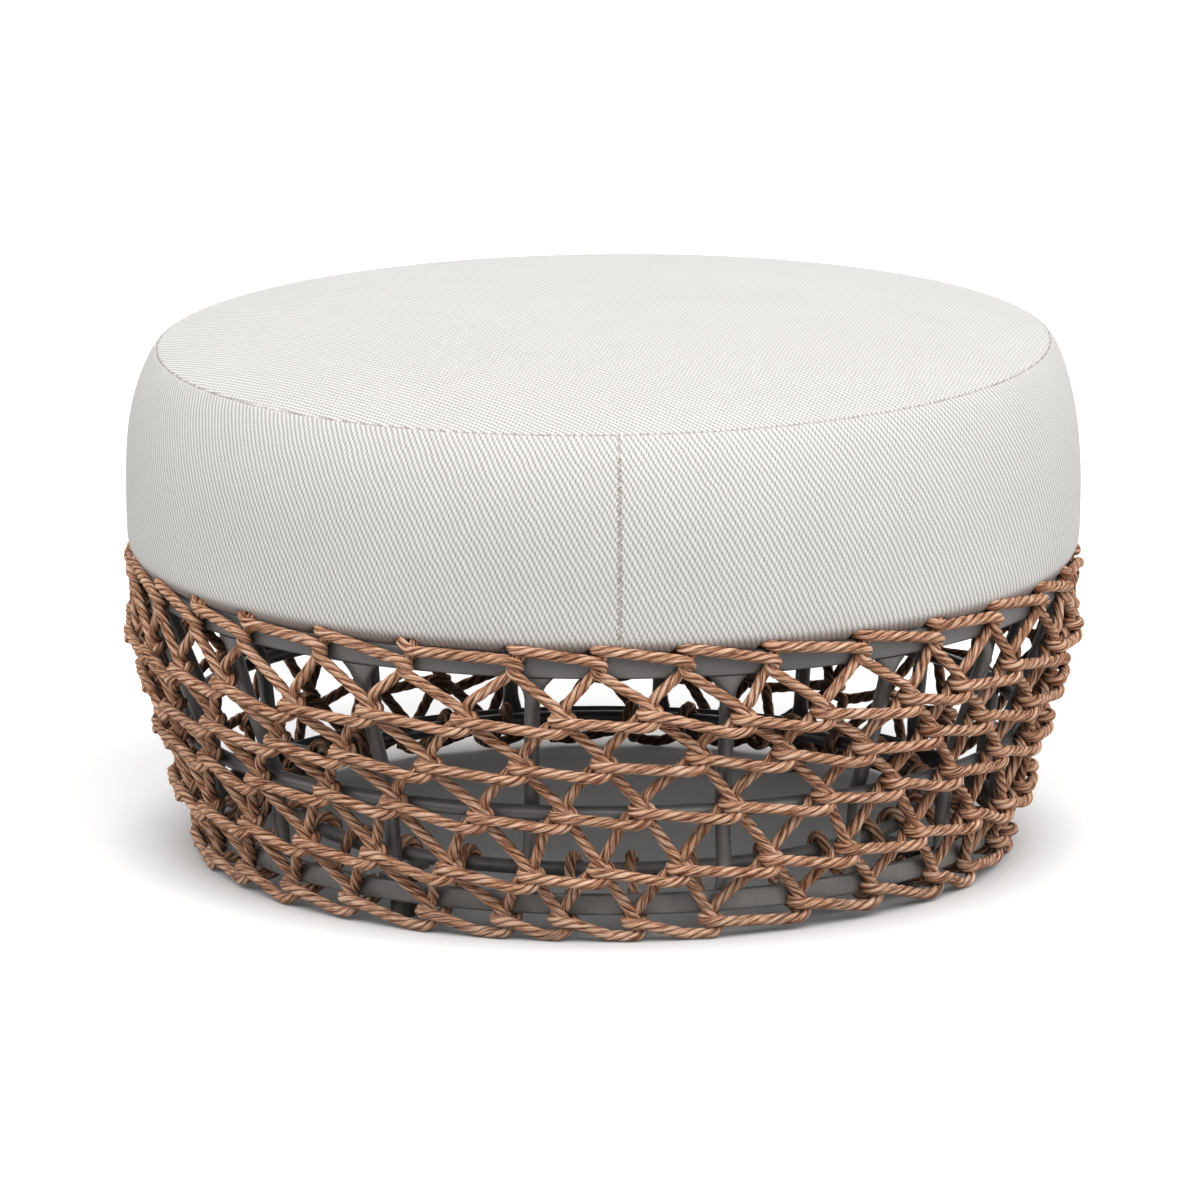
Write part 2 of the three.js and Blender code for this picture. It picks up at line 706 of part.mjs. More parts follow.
// Metal cage
const topHoop = hoop(topHoopOuterRadius, topHoopThickness, topHoopBottomZ, topHoopHeight);
const bottomHoop = hoop(bottomHoopOuterRadius, bottomHoopThickness, bottomHoopBottomZ, bottomHoopHeight);
add('top_hoop', topHoop, paint());
add('mid_ring', tubeRing(midRingRadius, midRingZ), paint());
add('bottom_hoop', bottomHoop, paint());
add('base_ring', tubeRing(baseRingRadius, baseRingZ), paint());
for (let index = 0; index < uprightCount; index += 1) {
  const spacing = fullTurn / uprightCount;
  const footAzimuth = firstUprightAzimuth + (index + uprightFootShares[index]) * spacing;
  const topAzimuth = firstUprightAzimuth + (index + uprightTopShares[index]) * spacing;
  add(`upright_${index + 1}`, upright(footAzimuth, topAzimuth), paint());
}

// Deck, turned so that its slats end between the rim hooks
const deckAzimuth = rimAzimuth - ropeHalf / rimRadius + cell / 2;
slatSteps.forEach((step, index) => {
  const mesh = add(`deck_slat_${index + 1}`, slat(step), paint());
  mesh.rotation.z = deckAzimuth;
});

// Spokes and glides, placed between the rope tails
const tailAzimuth = columnAzimuth(rows.length - 1, 0);
for (let index = 0; index < spokeCount; index += 1) {
  const azimuth = tailAzimuth + cell / 2 + (index * fullTurn) / spokeCount;
  add(`base_spoke_${index + 1}`, spoke(azimuth), paint());
  add(`glide_${index + 1}`, glide(azimuth), nylon());
}

// Rope weave
for (let index = 0; index < pairCount / pairsPerSector; index += 1) {
  add(`rope_weave_${index + 1}`, weaveSector(index * pairsPerSector), rope());
}

// Cushion
const seamHalfGap = seatGap / 2 / cushionWidestRadius;
const bandSweep = Math.PI - 2 * seamHalfGap;
add('foam_core', foamCore(), foam());
add('cover_bottom', coverBottom(), fabric());
add('cover_band_right', coverBand(frontSeamAzimuth + seamHalfGap, bandSweep), fabric());
add('cover_band_left', coverBand(frontSeamAzimuth + Math.PI + seamHalfGap, bandSweep), fabric());
add('cover_top', coverTop(), fabric());
add('zip_tape', zipTape(), fabric());
add('zip_slider', zipSlider(), zipMetal());

export default part;
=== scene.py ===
# %% [markdown]
# # A round outdoor footstool with a rope net
#
# The footstool has three parts to learn from: a dark metal cage, a net of twisted rope
# laced over it, and a thick loose cushion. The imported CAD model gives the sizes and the
# moving parts. This lesson dresses it: each step says what the piece is on the real
# object, how it could be made, and why it is made this way here.

import math
import random

import bpy
import numpy as np
from mathutils import Matrix, Vector
from mathutils.bvhtree import BVHTree


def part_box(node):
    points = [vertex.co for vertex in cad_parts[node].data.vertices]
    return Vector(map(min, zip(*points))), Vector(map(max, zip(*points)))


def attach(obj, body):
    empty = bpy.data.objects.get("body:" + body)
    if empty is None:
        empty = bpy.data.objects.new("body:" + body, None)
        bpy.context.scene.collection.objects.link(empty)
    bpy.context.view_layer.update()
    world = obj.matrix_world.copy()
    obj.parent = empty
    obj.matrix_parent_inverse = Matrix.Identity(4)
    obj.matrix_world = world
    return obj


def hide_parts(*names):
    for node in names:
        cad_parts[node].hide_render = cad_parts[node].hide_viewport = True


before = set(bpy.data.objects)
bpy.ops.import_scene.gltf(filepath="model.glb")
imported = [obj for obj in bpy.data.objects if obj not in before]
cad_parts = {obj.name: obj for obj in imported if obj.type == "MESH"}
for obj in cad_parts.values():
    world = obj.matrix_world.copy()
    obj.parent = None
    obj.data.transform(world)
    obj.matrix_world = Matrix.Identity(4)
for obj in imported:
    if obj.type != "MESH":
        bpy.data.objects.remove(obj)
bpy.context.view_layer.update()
MM = 0.001

# %% [markdown]
# ## The camera
#
# The photograph was taken from far away with a long lens: the footstool shows hardly any
# perspective. A camera 10 m off with a 370 mm lens gives the same ellipses for the hoops
# and the cushion. It looks down by 12.9 degrees. Two small helpers come first: one sets
# several settings of a thing at once, and one puts new data into the scene.

# %% Camera
CAMERA_PLACE = (0.0, -9.8338, 2.4621)
CAMERA_PITCH = 0.22584
CAMERA_LENS = 370.23
CAMERA_SHIFT = -0.002817


def configure(thing, **settings):
    for key, value in settings.items():
        setattr(thing, key, value)
    return thing


def add_object(name, data):
    made = bpy.data.objects.new(name, data)
    bpy.context.collection.objects.link(made)
    return made


camera = add_object("camera", bpy.data.cameras.new("camera"))
configure(camera.data, lens=CAMERA_LENS, sensor_width=36, shift_x=CAMERA_SHIFT, clip_end=100)
camera.location = CAMERA_PLACE
camera.rotation_euler = (math.pi / 2 - CAMERA_PITCH, 0, 0)
bpy.context.scene.camera = camera
print("camera", camera.data.lens, "mm")

# %% [markdown]
# ## Helpers for shader nodes
#
# A material is a small tree of nodes. These helpers keep the recipes short: they add a
# node and fill its sockets, do sums, mix colours, and start and end a material or a node
# group. A socket of a group is a number, a vector or a colour, as its first value is.


# %% Node helpers
def connect(tree, value, socket):
    """Links a socket of another node, or sets a plain value."""
    if isinstance(value, bpy.types.NodeSocket):
        tree.links.new(value, socket)
    else:
        socket.default_value = value


def add_node(tree, kind, settings=None, **sockets):
    """Adds a node. A socket goes by its name, with _ for a space, or by its number, as i0."""
    made = configure(tree.nodes.new(f"ShaderNode{kind}"), **(settings or {}))
    for key, value in sockets.items():
        numbered = key[0] == "i" and key[1:].isdigit()
        connect(tree, value, made.inputs[int(key[1:]) if numbered else key.replace("_", " ")])
    return made


def ramp(tree, value, *stops):
    """A colour ramp: stops are (position, colour) pairs, and a number stands for a grey."""
    made = add_node(tree, "ValToRGB", Fac=value)
    elements = made.color_ramp.elements
    while len(elements) < len(stops):
        elements.new(0.5)
    for element, (position, colour) in zip(elements, stops):
        element.position = position
        element.color = (*colour, 1) if isinstance(colour, tuple) else (colour, colour, colour, 1)
    return made.outputs["Color"]


def math_node(tree, operation, first, second=0.0, third=0.0):
    return add_node(tree, "Math", {"operation": operation}, i0=first, i1=second, i2=third).outputs[0]


def vector_node(tree, operation, first, second=(0.0, 0.0, 0.0)):
    made = add_node(tree, "VectorMath", {"operation": operation}, i0=first, i1=second)
    return made.outputs["Value" if operation in ("DOT_PRODUCT", "LENGTH") else "Vector"]


def map_range(tree, value, low, high, to_low=0.0, to_high=1.0, way="LINEAR"):
    settings = {"interpolation_type": way}
    made = add_node(tree, "MapRange", settings, i0=value, i1=low, i2=high, i3=to_low, i4=to_high)
    return made.outputs["Result"]


def mix_colour(tree, factor, first, second, blend="MIX"):
    made = add_node(tree, "Mix", {"data_type": "RGBA", "blend_type": blend})
    for number, value in ((0, factor), (6, first), (7, second)):
        connect(tree, (*value, 1) if isinstance(value, tuple) else value, made.inputs[number])
    return made.outputs[2]


def noise(tree, place, scale, detail):
    return add_node(tree, "TexNoise", Vector=place, Scale=scale, Detail=detail).outputs


def object_place(tree):
    return add_node(tree, "TexCoord").outputs["Object"]


def new_material(name, **sockets):
    material = bpy.data.materials.new(name)
    material.use_nodes = True
    shader = material.node_tree.nodes["Principled BSDF"]
    for key, value in sockets.items():
        shader.inputs[key.replace("_", " ")].default_value = value
    return material, material.node_tree, shader


def finish_material(tree, shader, colour, roughness, height, strength, depth):
    tree.links.new(colour, shader.inputs["Base Color"])
    if roughness:
        tree.links.new(roughness, shader.inputs["Roughness"])
    bump = add_node(tree, "Bump", Strength=strength, Distance=depth, Height=height)
    tree.links.new(bump.outputs["Normal"], shader.inputs["Normal"])


def new_group(name, gives, **inputs):
    """A node group with one output. It gives back the group, its inputs and that output."""
    tree = bpy.data.node_groups.new(name, "ShaderNodeTree")
    for label, value in inputs.items():
        kind = "Float" if isinstance(value, float) else "Color" if len(value) == 4 else "Vector"
        socket = tree.interface.new_socket(label, in_out="INPUT", socket_type=f"NodeSocket{kind}")
        socket.default_value = value
    kind = "Color" if gives == "Colour" else "Float"
    tree.interface.new_socket(gives, in_out="OUTPUT", socket_type=f"NodeSocket{kind}")
    return tree, tree.nodes.new("NodeGroupInput").outputs, tree.nodes.new("NodeGroupOutput").inputs[0]


def use_group(tree, group, **sockets):
    return add_node(tree, "Group", {"node_tree": group}, **sockets).outputs[0]


print("helpers ready")

# %% [markdown]
# ## Shared effects
#
# Four effects are used by more than one finish, so each is a node group that is built
# once. "grain" is a fine speckle for paint, nylon and zip metal. "fibres" makes streaks
# that run along a thread, for the rope, the sewing thread and the zip's cloth. "dust" lets
# a little pale dirt settle near the ground, as on anything that stands on a patio.
# The last group darkens the faces that look towards the axis: it is painted shade for the
# inside of the cage, which is nearly black.

# %% Node groups for grain, fibres, dust and the painted shade on inner faces
ORIGIN = (0.0, 0.0, 0.0)
GREY = (0.5, 0.5, 0.5, 1.0)
DIRT = (0.42, 0.38, 0.33)

grain, given, result = new_group("grain", "Value", Place=ORIGIN, Scale=800.0, Low=0.3, High=0.7)
speckle = noise(grain, given["Place"], given["Scale"], 3.0)["Fac"]
grain.links.new(map_range(grain, speckle, given["Low"], given["High"], way="SMOOTHSTEP"), result)

fibres, given, result = new_group("fibres", "Value", Place=ORIGIN, Stretch=(100.0, 770.0, 770.0), Seed=0.0)
stretched = vector_node(fibres, "MULTIPLY", given["Place"], given["Stretch"])
sockets = {"Vector": stretched, "W": given["Seed"], "Scale": 1.0, "Detail": 2.0, "Roughness": 0.55}
streaks = add_node(fibres, "TexNoise", {"noise_dimensions": "4D"}, **sockets)
fibres.links.new(streaks.outputs["Fac"], result)

dust, given, result = new_group("dust", "Colour", Place=ORIGIN, Colour=GREY, Height=0.12, Amount=0.3)
height = add_node(dust, "SeparateXYZ", Vector=given["Place"]).outputs["Z"]
low_down = map_range(dust, height, 0.0, given["Height"], 1.0, 0.0)
patches = ramp(dust, noise(dust, given["Place"], 70.0, 4.0)["Fac"], (0.35, 0.0), (0.7, 1.0))
cover = math_node(dust, "MULTIPLY", math_node(dust, "MULTIPLY", low_down, patches), given["Amount"])
dust.links.new(mix_colour(dust, cover, given["Colour"], DIRT), result)

# Painted shade: faces that look towards the axis are darkened, as the shade inside the cage.
painted_inner_shade, given, result = new_group("painted inner shade", "Colour", Place=ORIGIN, Colour=GREY, Darkest=0.3)
level = vector_node(painted_inner_shade, "MULTIPLY", given["Place"], (1.0, 1.0, 0.0))
outward = vector_node(painted_inner_shade, "NORMALIZE", level)
normal = add_node(painted_inner_shade, "TexCoord").outputs["Normal"]
facing = vector_node(painted_inner_shade, "DOT_PRODUCT", normal, outward)
left = map_range(painted_inner_shade, facing, -0.5, 0.05, given["Darkest"], 1.0, "SMOOTHSTEP")
shade = add_node(painted_inner_shade, "CombineXYZ", X=left, Y=left, Z=left).outputs["Vector"]
painted_inner_shade.links.new(mix_colour(painted_inner_shade, 1.0, given["Colour"], shade, "MULTIPLY"), result)
print("groups", [group.name for group in (grain, fibres, dust, painted_inner_shade)])

# %% [markdown]
# ## Stage: floor, world and lamps
#
# The photograph has a pure white ground. The floor is plain and very pale, and away from
# the foot it gets a touch of light of its own, so that it reads as white while the shadow
# stays under the footstool. Where it sees little open air its colour is painted greyer, a
# painted shade that keeps the floor inside the cage dark. Only rays from the camera, and
# those that metal or glass sends on, see it like that: light that bounces off the floor
# sees a dark grey. A white world and four wide suns give the even light of a photo studio.

# %% Stage
FLOOR_SIZE = 60
GLOW_FROM = 0.31
GLOW_FULL = 0.42
WHITE = (1.0, 1.0, 1.0, 1.0)
LAMPS = {
    # name: the direction it shines from, its strength, its width in degrees
    "high_front": ((0.1, -1.0, 1.15), 1.4, 40),
    "low_back": ((0.2, 1.0, 0.45), 0.5, 60),
    "right_fill": ((1.0, -0.35, 0.6), 1.6, 60),
    "left_fill": ((-1.0, -0.35, 0.6), 1.35, 60),
}


def white_seen(tree):
    """1 for rays from the camera and for those that metal or glass sends on, else 0."""
    path = add_node(tree, "LightPath").outputs
    direct = math_node(tree, "MAXIMUM", path["Is Camera Ray"], path["Is Glossy Ray"])
    return math_node(tree, "MAXIMUM", direct, path["Is Transmission Ray"])


bpy.ops.mesh.primitive_plane_add(size=FLOOR_SIZE, location=(0, 0, 0))
floor = bpy.context.active_object
floor.name = "floor"
floor_material, tree, shader = new_material("floor_white", Roughness=0.9, Specular_IOR_Level=0.0)
# Painted shade: the floor's colour turns grey where ambient occlusion finds little open air.
open_air = add_node(tree, "AmbientOcclusion", {"samples": 2}, Distance=0.8).outputs["AO"]
tree.links.new(ramp(tree, open_air, (0.1, 0.48), (0.36, 0.96)), shader.inputs["Base Color"])
away = vector_node(tree, "LENGTH", object_place(tree))
strength = map_range(tree, away, GLOW_FROM, GLOW_FULL, 0.02, 0.34, "SMOOTHSTEP")
glow = add_node(tree, "Emission", Color=WHITE, Strength=strength).outputs[0]
both = add_node(tree, "AddShader", i0=shader.outputs[0], i1=glow).outputs[0]
plain = add_node(tree, "BsdfDiffuse", Color=(0.3, 0.3, 0.3, 1)).outputs[0]
seen = add_node(tree, "MixShader", i0=white_seen(tree), i1=plain, i2=both)
tree.links.new(seen.outputs[0], tree.nodes["Material Output"].inputs["Surface"])
floor.data.materials.append(floor_material)

world = bpy.data.worlds.new("studio")
bpy.context.scene.world = world
world.use_nodes = True
tree = world.node_tree
tree.nodes.clear()
soft, white = (add_node(tree, "Background", Color=WHITE, Strength=value).outputs[0] for value in (0.22, 1.0))
choice = add_node(tree, "MixShader", i0=white_seen(tree), i1=soft, i2=white)
add_node(tree, "OutputWorld", Surface=choice.outputs[0])

for name, (towards, strength, degrees) in LAMPS.items():
    lamp = add_object(name, bpy.data.lights.new(name, "SUN"))
    configure(lamp.data, energy=strength, angle=math.radians(degrees))
    lamp.rotation_euler = Vector(towards).to_track_quat("Z", "Y").to_euler()
bpy.context.scene.view_settings.view_transform = "Standard"
print("stage ready")

# %% [markdown]
# ## Powder-coated metal, nylon and zip metal
#
# The cage is painted a warm dark grey, with the fine orange-peel skin of powder coat. A
# slow noise varies the colour a little, the shared grain makes the skin and breaks up the
# gloss, and dust settles low down. Nylon and the zip's metal are simpler: colour, gloss
# and relief all follow the same grain, so one recipe serves both, and the thread and the
# zip's cloth later.

# %% Frame paint, nylon and zip metal
frame_paint, tree, shader = new_material("frame_paint", Metallic=0.0, Specular_IOR_Level=0.6)
place = object_place(tree)
skin = use_group(tree, grain, Place=place, Scale=900.0)
slow = noise(tree, place, 9.0, 3.0)["Fac"]
colour = ramp(tree, slow, (0.3, (0.10, 0.095, 0.091)), (0.7, (0.19, 0.181, 0.175)))
colour = use_group(tree, dust, Place=place, Colour=colour, Height=0.09, Amount=0.35)
# Painted shade on the faces of the cage that look towards the axis.
colour = use_group(tree, painted_inner_shade, Place=place, Colour=colour, Darkest=0.2)
finish_material(tree, shader, colour, ramp(tree, skin, (0.0, 0.3), (1.0, 0.46)), skin, 0.2, 0.0004)


def simple_finish(name, settings, group, sockets, colours, relief, gloss=None, dirt=None):
    """A finish that follows one shared effect. Relief is its strength and depth in metres."""
    material, tree, shader = new_material(name, **settings)
    place = object_place(tree)
    effect = use_group(tree, group, Place=place, **sockets)
    colour = ramp(tree, effect, *colours)
    if dirt:
        colour = use_group(tree, dust, Place=place, Colour=colour, **dirt)
    roughness = ramp(tree, effect, *gloss) if gloss else None
    finish_material(tree, shader, colour, roughness, effect, *relief)
    return material


nylon = simple_finish(
    "nylon",
    {"Roughness": 0.5},
    grain,
    {"Scale": 700.0},
    [(0.0, (0.018, 0.017, 0.016)), (1.0, (0.034, 0.032, 0.03))],
    (0.3, 0.0003),
    [(0.0, 0.45), (1.0, 0.65)],
    {"Height": 0.03, "Amount": 0.5},
)
zip_metal = simple_finish(
    "zip_metal",
    {"Metallic": 0.9},
    grain,
    {"Scale": 500.0, "Low": 0.2, "High": 0.8},
    [(0.0, (0.5, 0.49, 0.46)), (1.0, (0.62, 0.6, 0.57))],
    (0.1, 0.0002),
    [(0.0, 0.25), (1.0, 0.45)],
)
print("metal and nylon ready")

# %% [markdown]
# ## Modelling helpers
#
# Pieces are modelled as by hand: start from a primitive, select by place, extrude, and
# finish with modifiers that are applied. These helpers deselect everything first, open
# and close edit mode, apply a modifier, and hand a piece over with its material and its
# body, hiding the CAD nodes that it replaces.


# %% Modelling helpers
def deselect():
    if bpy.context.mode != "OBJECT":
        bpy.ops.object.mode_set(mode="OBJECT")
    bpy.ops.object.select_all(action="DESELECT")


def only(*pieces):
    """Selects these pieces alone. The first one is active."""
    deselect()
    for piece in pieces:
        piece.select_set(True)
    bpy.context.view_layer.objects.active = pieces[0]


def open_edit(action="SELECT"):
    bpy.ops.object.mode_set(mode="EDIT")
    bpy.ops.mesh.select_all(action=action)


def close_edit():
    """Turns all faces outwards and leaves edit mode."""
    bpy.ops.mesh.select_all(action="SELECT")
    bpy.ops.mesh.normals_make_consistent(inside=False)
    bpy.ops.object.mode_set(mode="OBJECT")


def modify(piece, kind, **settings):
    """Adds a modifier and applies it."""
    made = configure(piece.modifiers.new(kind.lower(), kind), **settings)
    only(piece)
    bpy.ops.object.modifier_apply(modifier=made.name)


def smooth_by_angle(piece, degrees=35):
    only(piece)
    bpy.ops.object.shade_smooth_by_angle(angle=math.radians(degrees))


def hand_over(piece, name, material, body, nodes=()):
    """Names a finished piece, paints it, ties it to its body and hides the CAD nodes it stands for."""
    only(piece)
    bpy.ops.object.transform_apply()
    piece.name = name
    piece.data.name = name
    piece.data.materials.clear()
    piece.data.materials.append(material)
    if nodes:
        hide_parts(*nodes)
    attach(piece, body)


print("modelling helpers ready")

# %% [markdown]
# ## Flat hoops
#
# The top and bottom hoops are flat bars rolled on edge. A circle extruded upwards gives
# the band, Solidify gives its thickness, and a small Bevel rounds the corners, because a
# real bar has no sharp edge and the round catches the light.

# %% Flat hoops
HOOP_POINTS = 192
BAR_THICKNESS = 5 * MM
BAR_ROUND = 2.2 * MM
TOP_HOOP_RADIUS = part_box("top_hoop")[1].x
BOTTOM_HOOP_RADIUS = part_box("bottom_hoop")[1].x


def flat_hoop(node, outer):
    low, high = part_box(node)
    deselect()
    bpy.ops.mesh.primitive_circle_add(vertices=HOOP_POINTS, radius=outer, location=(0, 0, low.z))
    hoop = bpy.context.active_object
    open_edit()
    bpy.ops.mesh.extrude_region_move(TRANSFORM_OT_translate={"value": (0, 0, high.z - low.z)})
    close_edit()
    modify(hoop, "SOLIDIFY", thickness=BAR_THICKNESS, offset=-1)
    modify(hoop, "BEVEL", width=BAR_ROUND, segments=4, limit_method="ANGLE")
    smooth_by_angle(hoop)
    hand_over(hoop, f"{node}_bar", frame_paint, "base", [node])
    print(hoop.name, "radius", round(outer, 4), len(hoop.data.polygons), "faces")


flat_hoop("top_hoop", TOP_HOOP_RADIUS)
flat_hoop("bottom_hoop", BOTTOM_HOOP_RADIUS)

# %% [markdown]
# ## Round rings
#
# The middle ring and the base ring are round tube rolled to a circle. A small circle is
# stood up at the ring's radius and spun round the axis, as a tube bender would sweep it.

# %% Round rings
TUBE_SIDES = 16
TUBE_RADIUS = 6 * MM
RING_STEPS = 160
MERGE = 0.01 * MM


def round_ring(node):
    """Models the ring of a CAD node and gives back its radius and height."""
    low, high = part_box(node)
    radius, z = high.x - TUBE_RADIUS, (low.z + high.z) / 2
    deselect()
    bpy.ops.mesh.primitive_circle_add(
        vertices=TUBE_SIDES, radius=TUBE_RADIUS, location=(radius, 0, z), rotation=(math.pi / 2, 0, 0)
    )
    ring = bpy.context.active_object
    bpy.ops.object.transform_apply()
    open_edit()
    bpy.ops.mesh.spin(steps=RING_STEPS, angle=math.tau, center=(0, 0, 0), axis=(0, 0, 1))
    bpy.ops.mesh.select_all(action="SELECT")
    bpy.ops.mesh.remove_doubles(threshold=MERGE)
    close_edit()
    smooth_by_angle(ring)
    hand_over(ring, f"{node}_tube", frame_paint, "base", [node])
    return radius, z


MID_RING_RADIUS, MID_RING_Z = round_ring("mid_ring")
base_ring_radius, _ = round_ring("base_ring")
print("rings", round(MID_RING_RADIUS, 4), round(base_ring_radius, 4))

# %% [markdown]
# ## Uprights
#
# Each upright is a bent rod that runs from the bottom hoop, behind the middle ring, up to
# the top hoop. Its ends are hammered flat and wide for the weld. One rod is modelled by
# extruding a circle along the bend, station by station. Each station has a radius from
# the axis, a height, and a half width and half depth.

# %% One upright
ROD_RADIUS = 6.3 * MM
ROD_SIDES = 16
ROD_STEPS = 30
ROD_GAP = 0.3 * MM
ROD_END_DEPTH = 2.2 * MM
ROD_TOP_WIDTH = 16 * MM
ROD_FOOT_WIDTH = 9 * MM
TOP_FLARE = 20 * MM
FOOT_FLARE = 14 * MM
ROD_BEND = 0.12
ROD_BOTTOM_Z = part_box("bottom_hoop")[1].z + ROD_GAP
ROD_TOP_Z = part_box("top_hoop")[0].z - ROD_GAP


def rod_stations():
    bottom_r = BOTTOM_HOOP_RADIUS - BAR_THICKNESS / 2
    top_r = TOP_HOOP_RADIUS - BAR_THICKNESS / 2
    middle_r = MID_RING_RADIUS - TUBE_RADIUS - ROD_GAP - ROD_RADIUS
    stations = []
    for index in range(ROD_STEPS + 1):
        z = ROD_BOTTOM_Z + (ROD_TOP_Z - ROD_BOTTOM_Z) * index / ROD_STEPS
        if z < MID_RING_Z:
            share = (z - ROD_BOTTOM_Z) / (MID_RING_Z - ROD_BOTTOM_Z)
            r = bottom_r + (middle_r - bottom_r) * share
        else:
            share = (z - MID_RING_Z) / (ROD_TOP_Z - MID_RING_Z)
            r = middle_r + (top_r - middle_r) * ((1 + ROD_BEND) * share - ROD_BEND * share**3)
        up = max(0.0, 1 - (ROD_TOP_Z - z) / TOP_FLARE) ** 2
        down = max(0.0, 1 - (z - ROD_BOTTOM_Z) / FOOT_FLARE) ** 1.5
        wide = ROD_RADIUS + (ROD_TOP_WIDTH - ROD_RADIUS) * up + (ROD_FOOT_WIDTH - ROD_RADIUS) * down
        deep = ROD_RADIUS + (ROD_END_DEPTH - ROD_RADIUS) * max(up, down) ** 0.6
        stations.append((r, z, wide, deep))
    return stations


def model_rod():
    stations = rod_stations()
    r, z, wide, deep = stations[0]
    deselect()
    bpy.ops.mesh.primitive_circle_add(vertices=ROD_SIDES, radius=1, fill_type="NGON", location=(0, 0, 0))
    rod = bpy.context.active_object
    open_edit()
    bpy.ops.transform.resize(value=(wide, deep, 1), center_override=(0, 0, 0))
    bpy.ops.transform.translate(value=(0, -r, z))
    for (r0, z0, wide0, deep0), (r1, z1, wide1, deep1) in zip(stations, stations[1:]):
        bpy.ops.mesh.extrude_region_move(TRANSFORM_OT_translate={"value": (0, r0 - r1, z1 - z0)})
        bpy.ops.transform.resize(value=(wide1 / wide0, deep1 / deep0, 1), center_override=(0, -r1, z1))
    close_edit()
    smooth_by_angle(rod, 50)
    return rod


first_rod = model_rod()
print("rod", len(first_rod.data.polygons), "faces")

# %% [markdown]
# ## Sixteen uprights
#
# The other rods are copies, and each leans a little to its own side, as the hand-set rods
# of the real cage do: the lean is read off the CAD node that the copy stands for. A copy
# is turned and leaned in one go: its points are read as rows of numbers, and each moves
# round the axis by an angle that goes evenly from the rod's foot to its top.

# %% Copies of the upright
UPRIGHTS = [f"upright_{index + 1}" for index in range(16)]


def copy_of(piece):
    made = piece.copy()
    made.data = piece.data.copy()
    bpy.context.collection.objects.link(made)
    return made


def read(items, key):
    """A vector of every point or face of a mesh, as rows of three numbers."""
    flat = np.empty(3 * len(items))
    items.foreach_get(key, flat)
    return flat.reshape(-1, 3)


def points_of(piece):
    return read(piece.data.vertices, "co")


def set_points(piece, points):
    piece.data.vertices.foreach_set("co", np.asarray(points).ravel())
    piece.data.update()


def end_azimuth(node, end):
    """Azimuth of a rod's end in the CAD, from the middle of the points there."""
    points = points_of(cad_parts[node])
    middle = points[np.abs(points[:, 2] - end(points[:, 2])) < MM].mean(axis=0)
    return math.atan2(middle[0], -middle[1])


def lean(rod, foot, top):
    points = points_of(rod)
    share = (points[:, 2] - ROD_BOTTOM_Z) / (ROD_TOP_Z - ROD_BOTTOM_Z)
    turn = foot + (top - foot) * share
    x, y = points[:, 0].copy(), points[:, 1].copy()
    points[:, 0] = x * np.cos(turn) - y * np.sin(turn)
    points[:, 1] = x * np.sin(turn) + y * np.cos(turn)
    set_points(rod, points)


for node in UPRIGHTS:
    rod = first_rod if node == UPRIGHTS[-1] else copy_of(first_rod)
    foot, top = end_azimuth(node, np.min), end_azimuth(node, np.max)
    lean(rod, foot, foot + math.remainder(top - foot, math.tau))
    hand_over(rod, node.replace("upright", "rod"), frame_paint, "base", [node])
print("rods", len(UPRIGHTS))

# %% [markdown]
# ## Paint on the pieces kept from the CAD
#
# The slats, the spokes and the glides have the right shape in the CAD already. They stay
# as they are and only get their finish.

# %% Paint and nylon on slats, spokes and glides
for name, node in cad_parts.items():
    if name.startswith(("deck_slat", "base_spoke", "glide")):
        node.data.materials.clear()
        node.data.materials.append(nylon if name.startswith("glide") else frame_paint)
print("CAD nodes painted")

# %% [markdown]
# ## The rope: how the net is laced
#
# The net is made of 32 equal ropes. Each one starts at the base ring, climbs to the right
# through the five rows of knots (strand A), goes over the top hoop, comes back over it as
# the long stitch along the rim, hitches round its neighbour, and then steps down to the
# foot: a slanted run to the left, a hook behind the crossing strand, and a level run to
# the next knot (strand B). At each knot the level run lies in front, the climbing strand
# in the middle and the hooks behind, which is what keeps the knot tight.
#
# The knots' places were measured on the real net, which is hand-made: the table below
# gives how far each knot that shows lies from an even spacing. Knots at the back get
# small random offsets of the same kind.

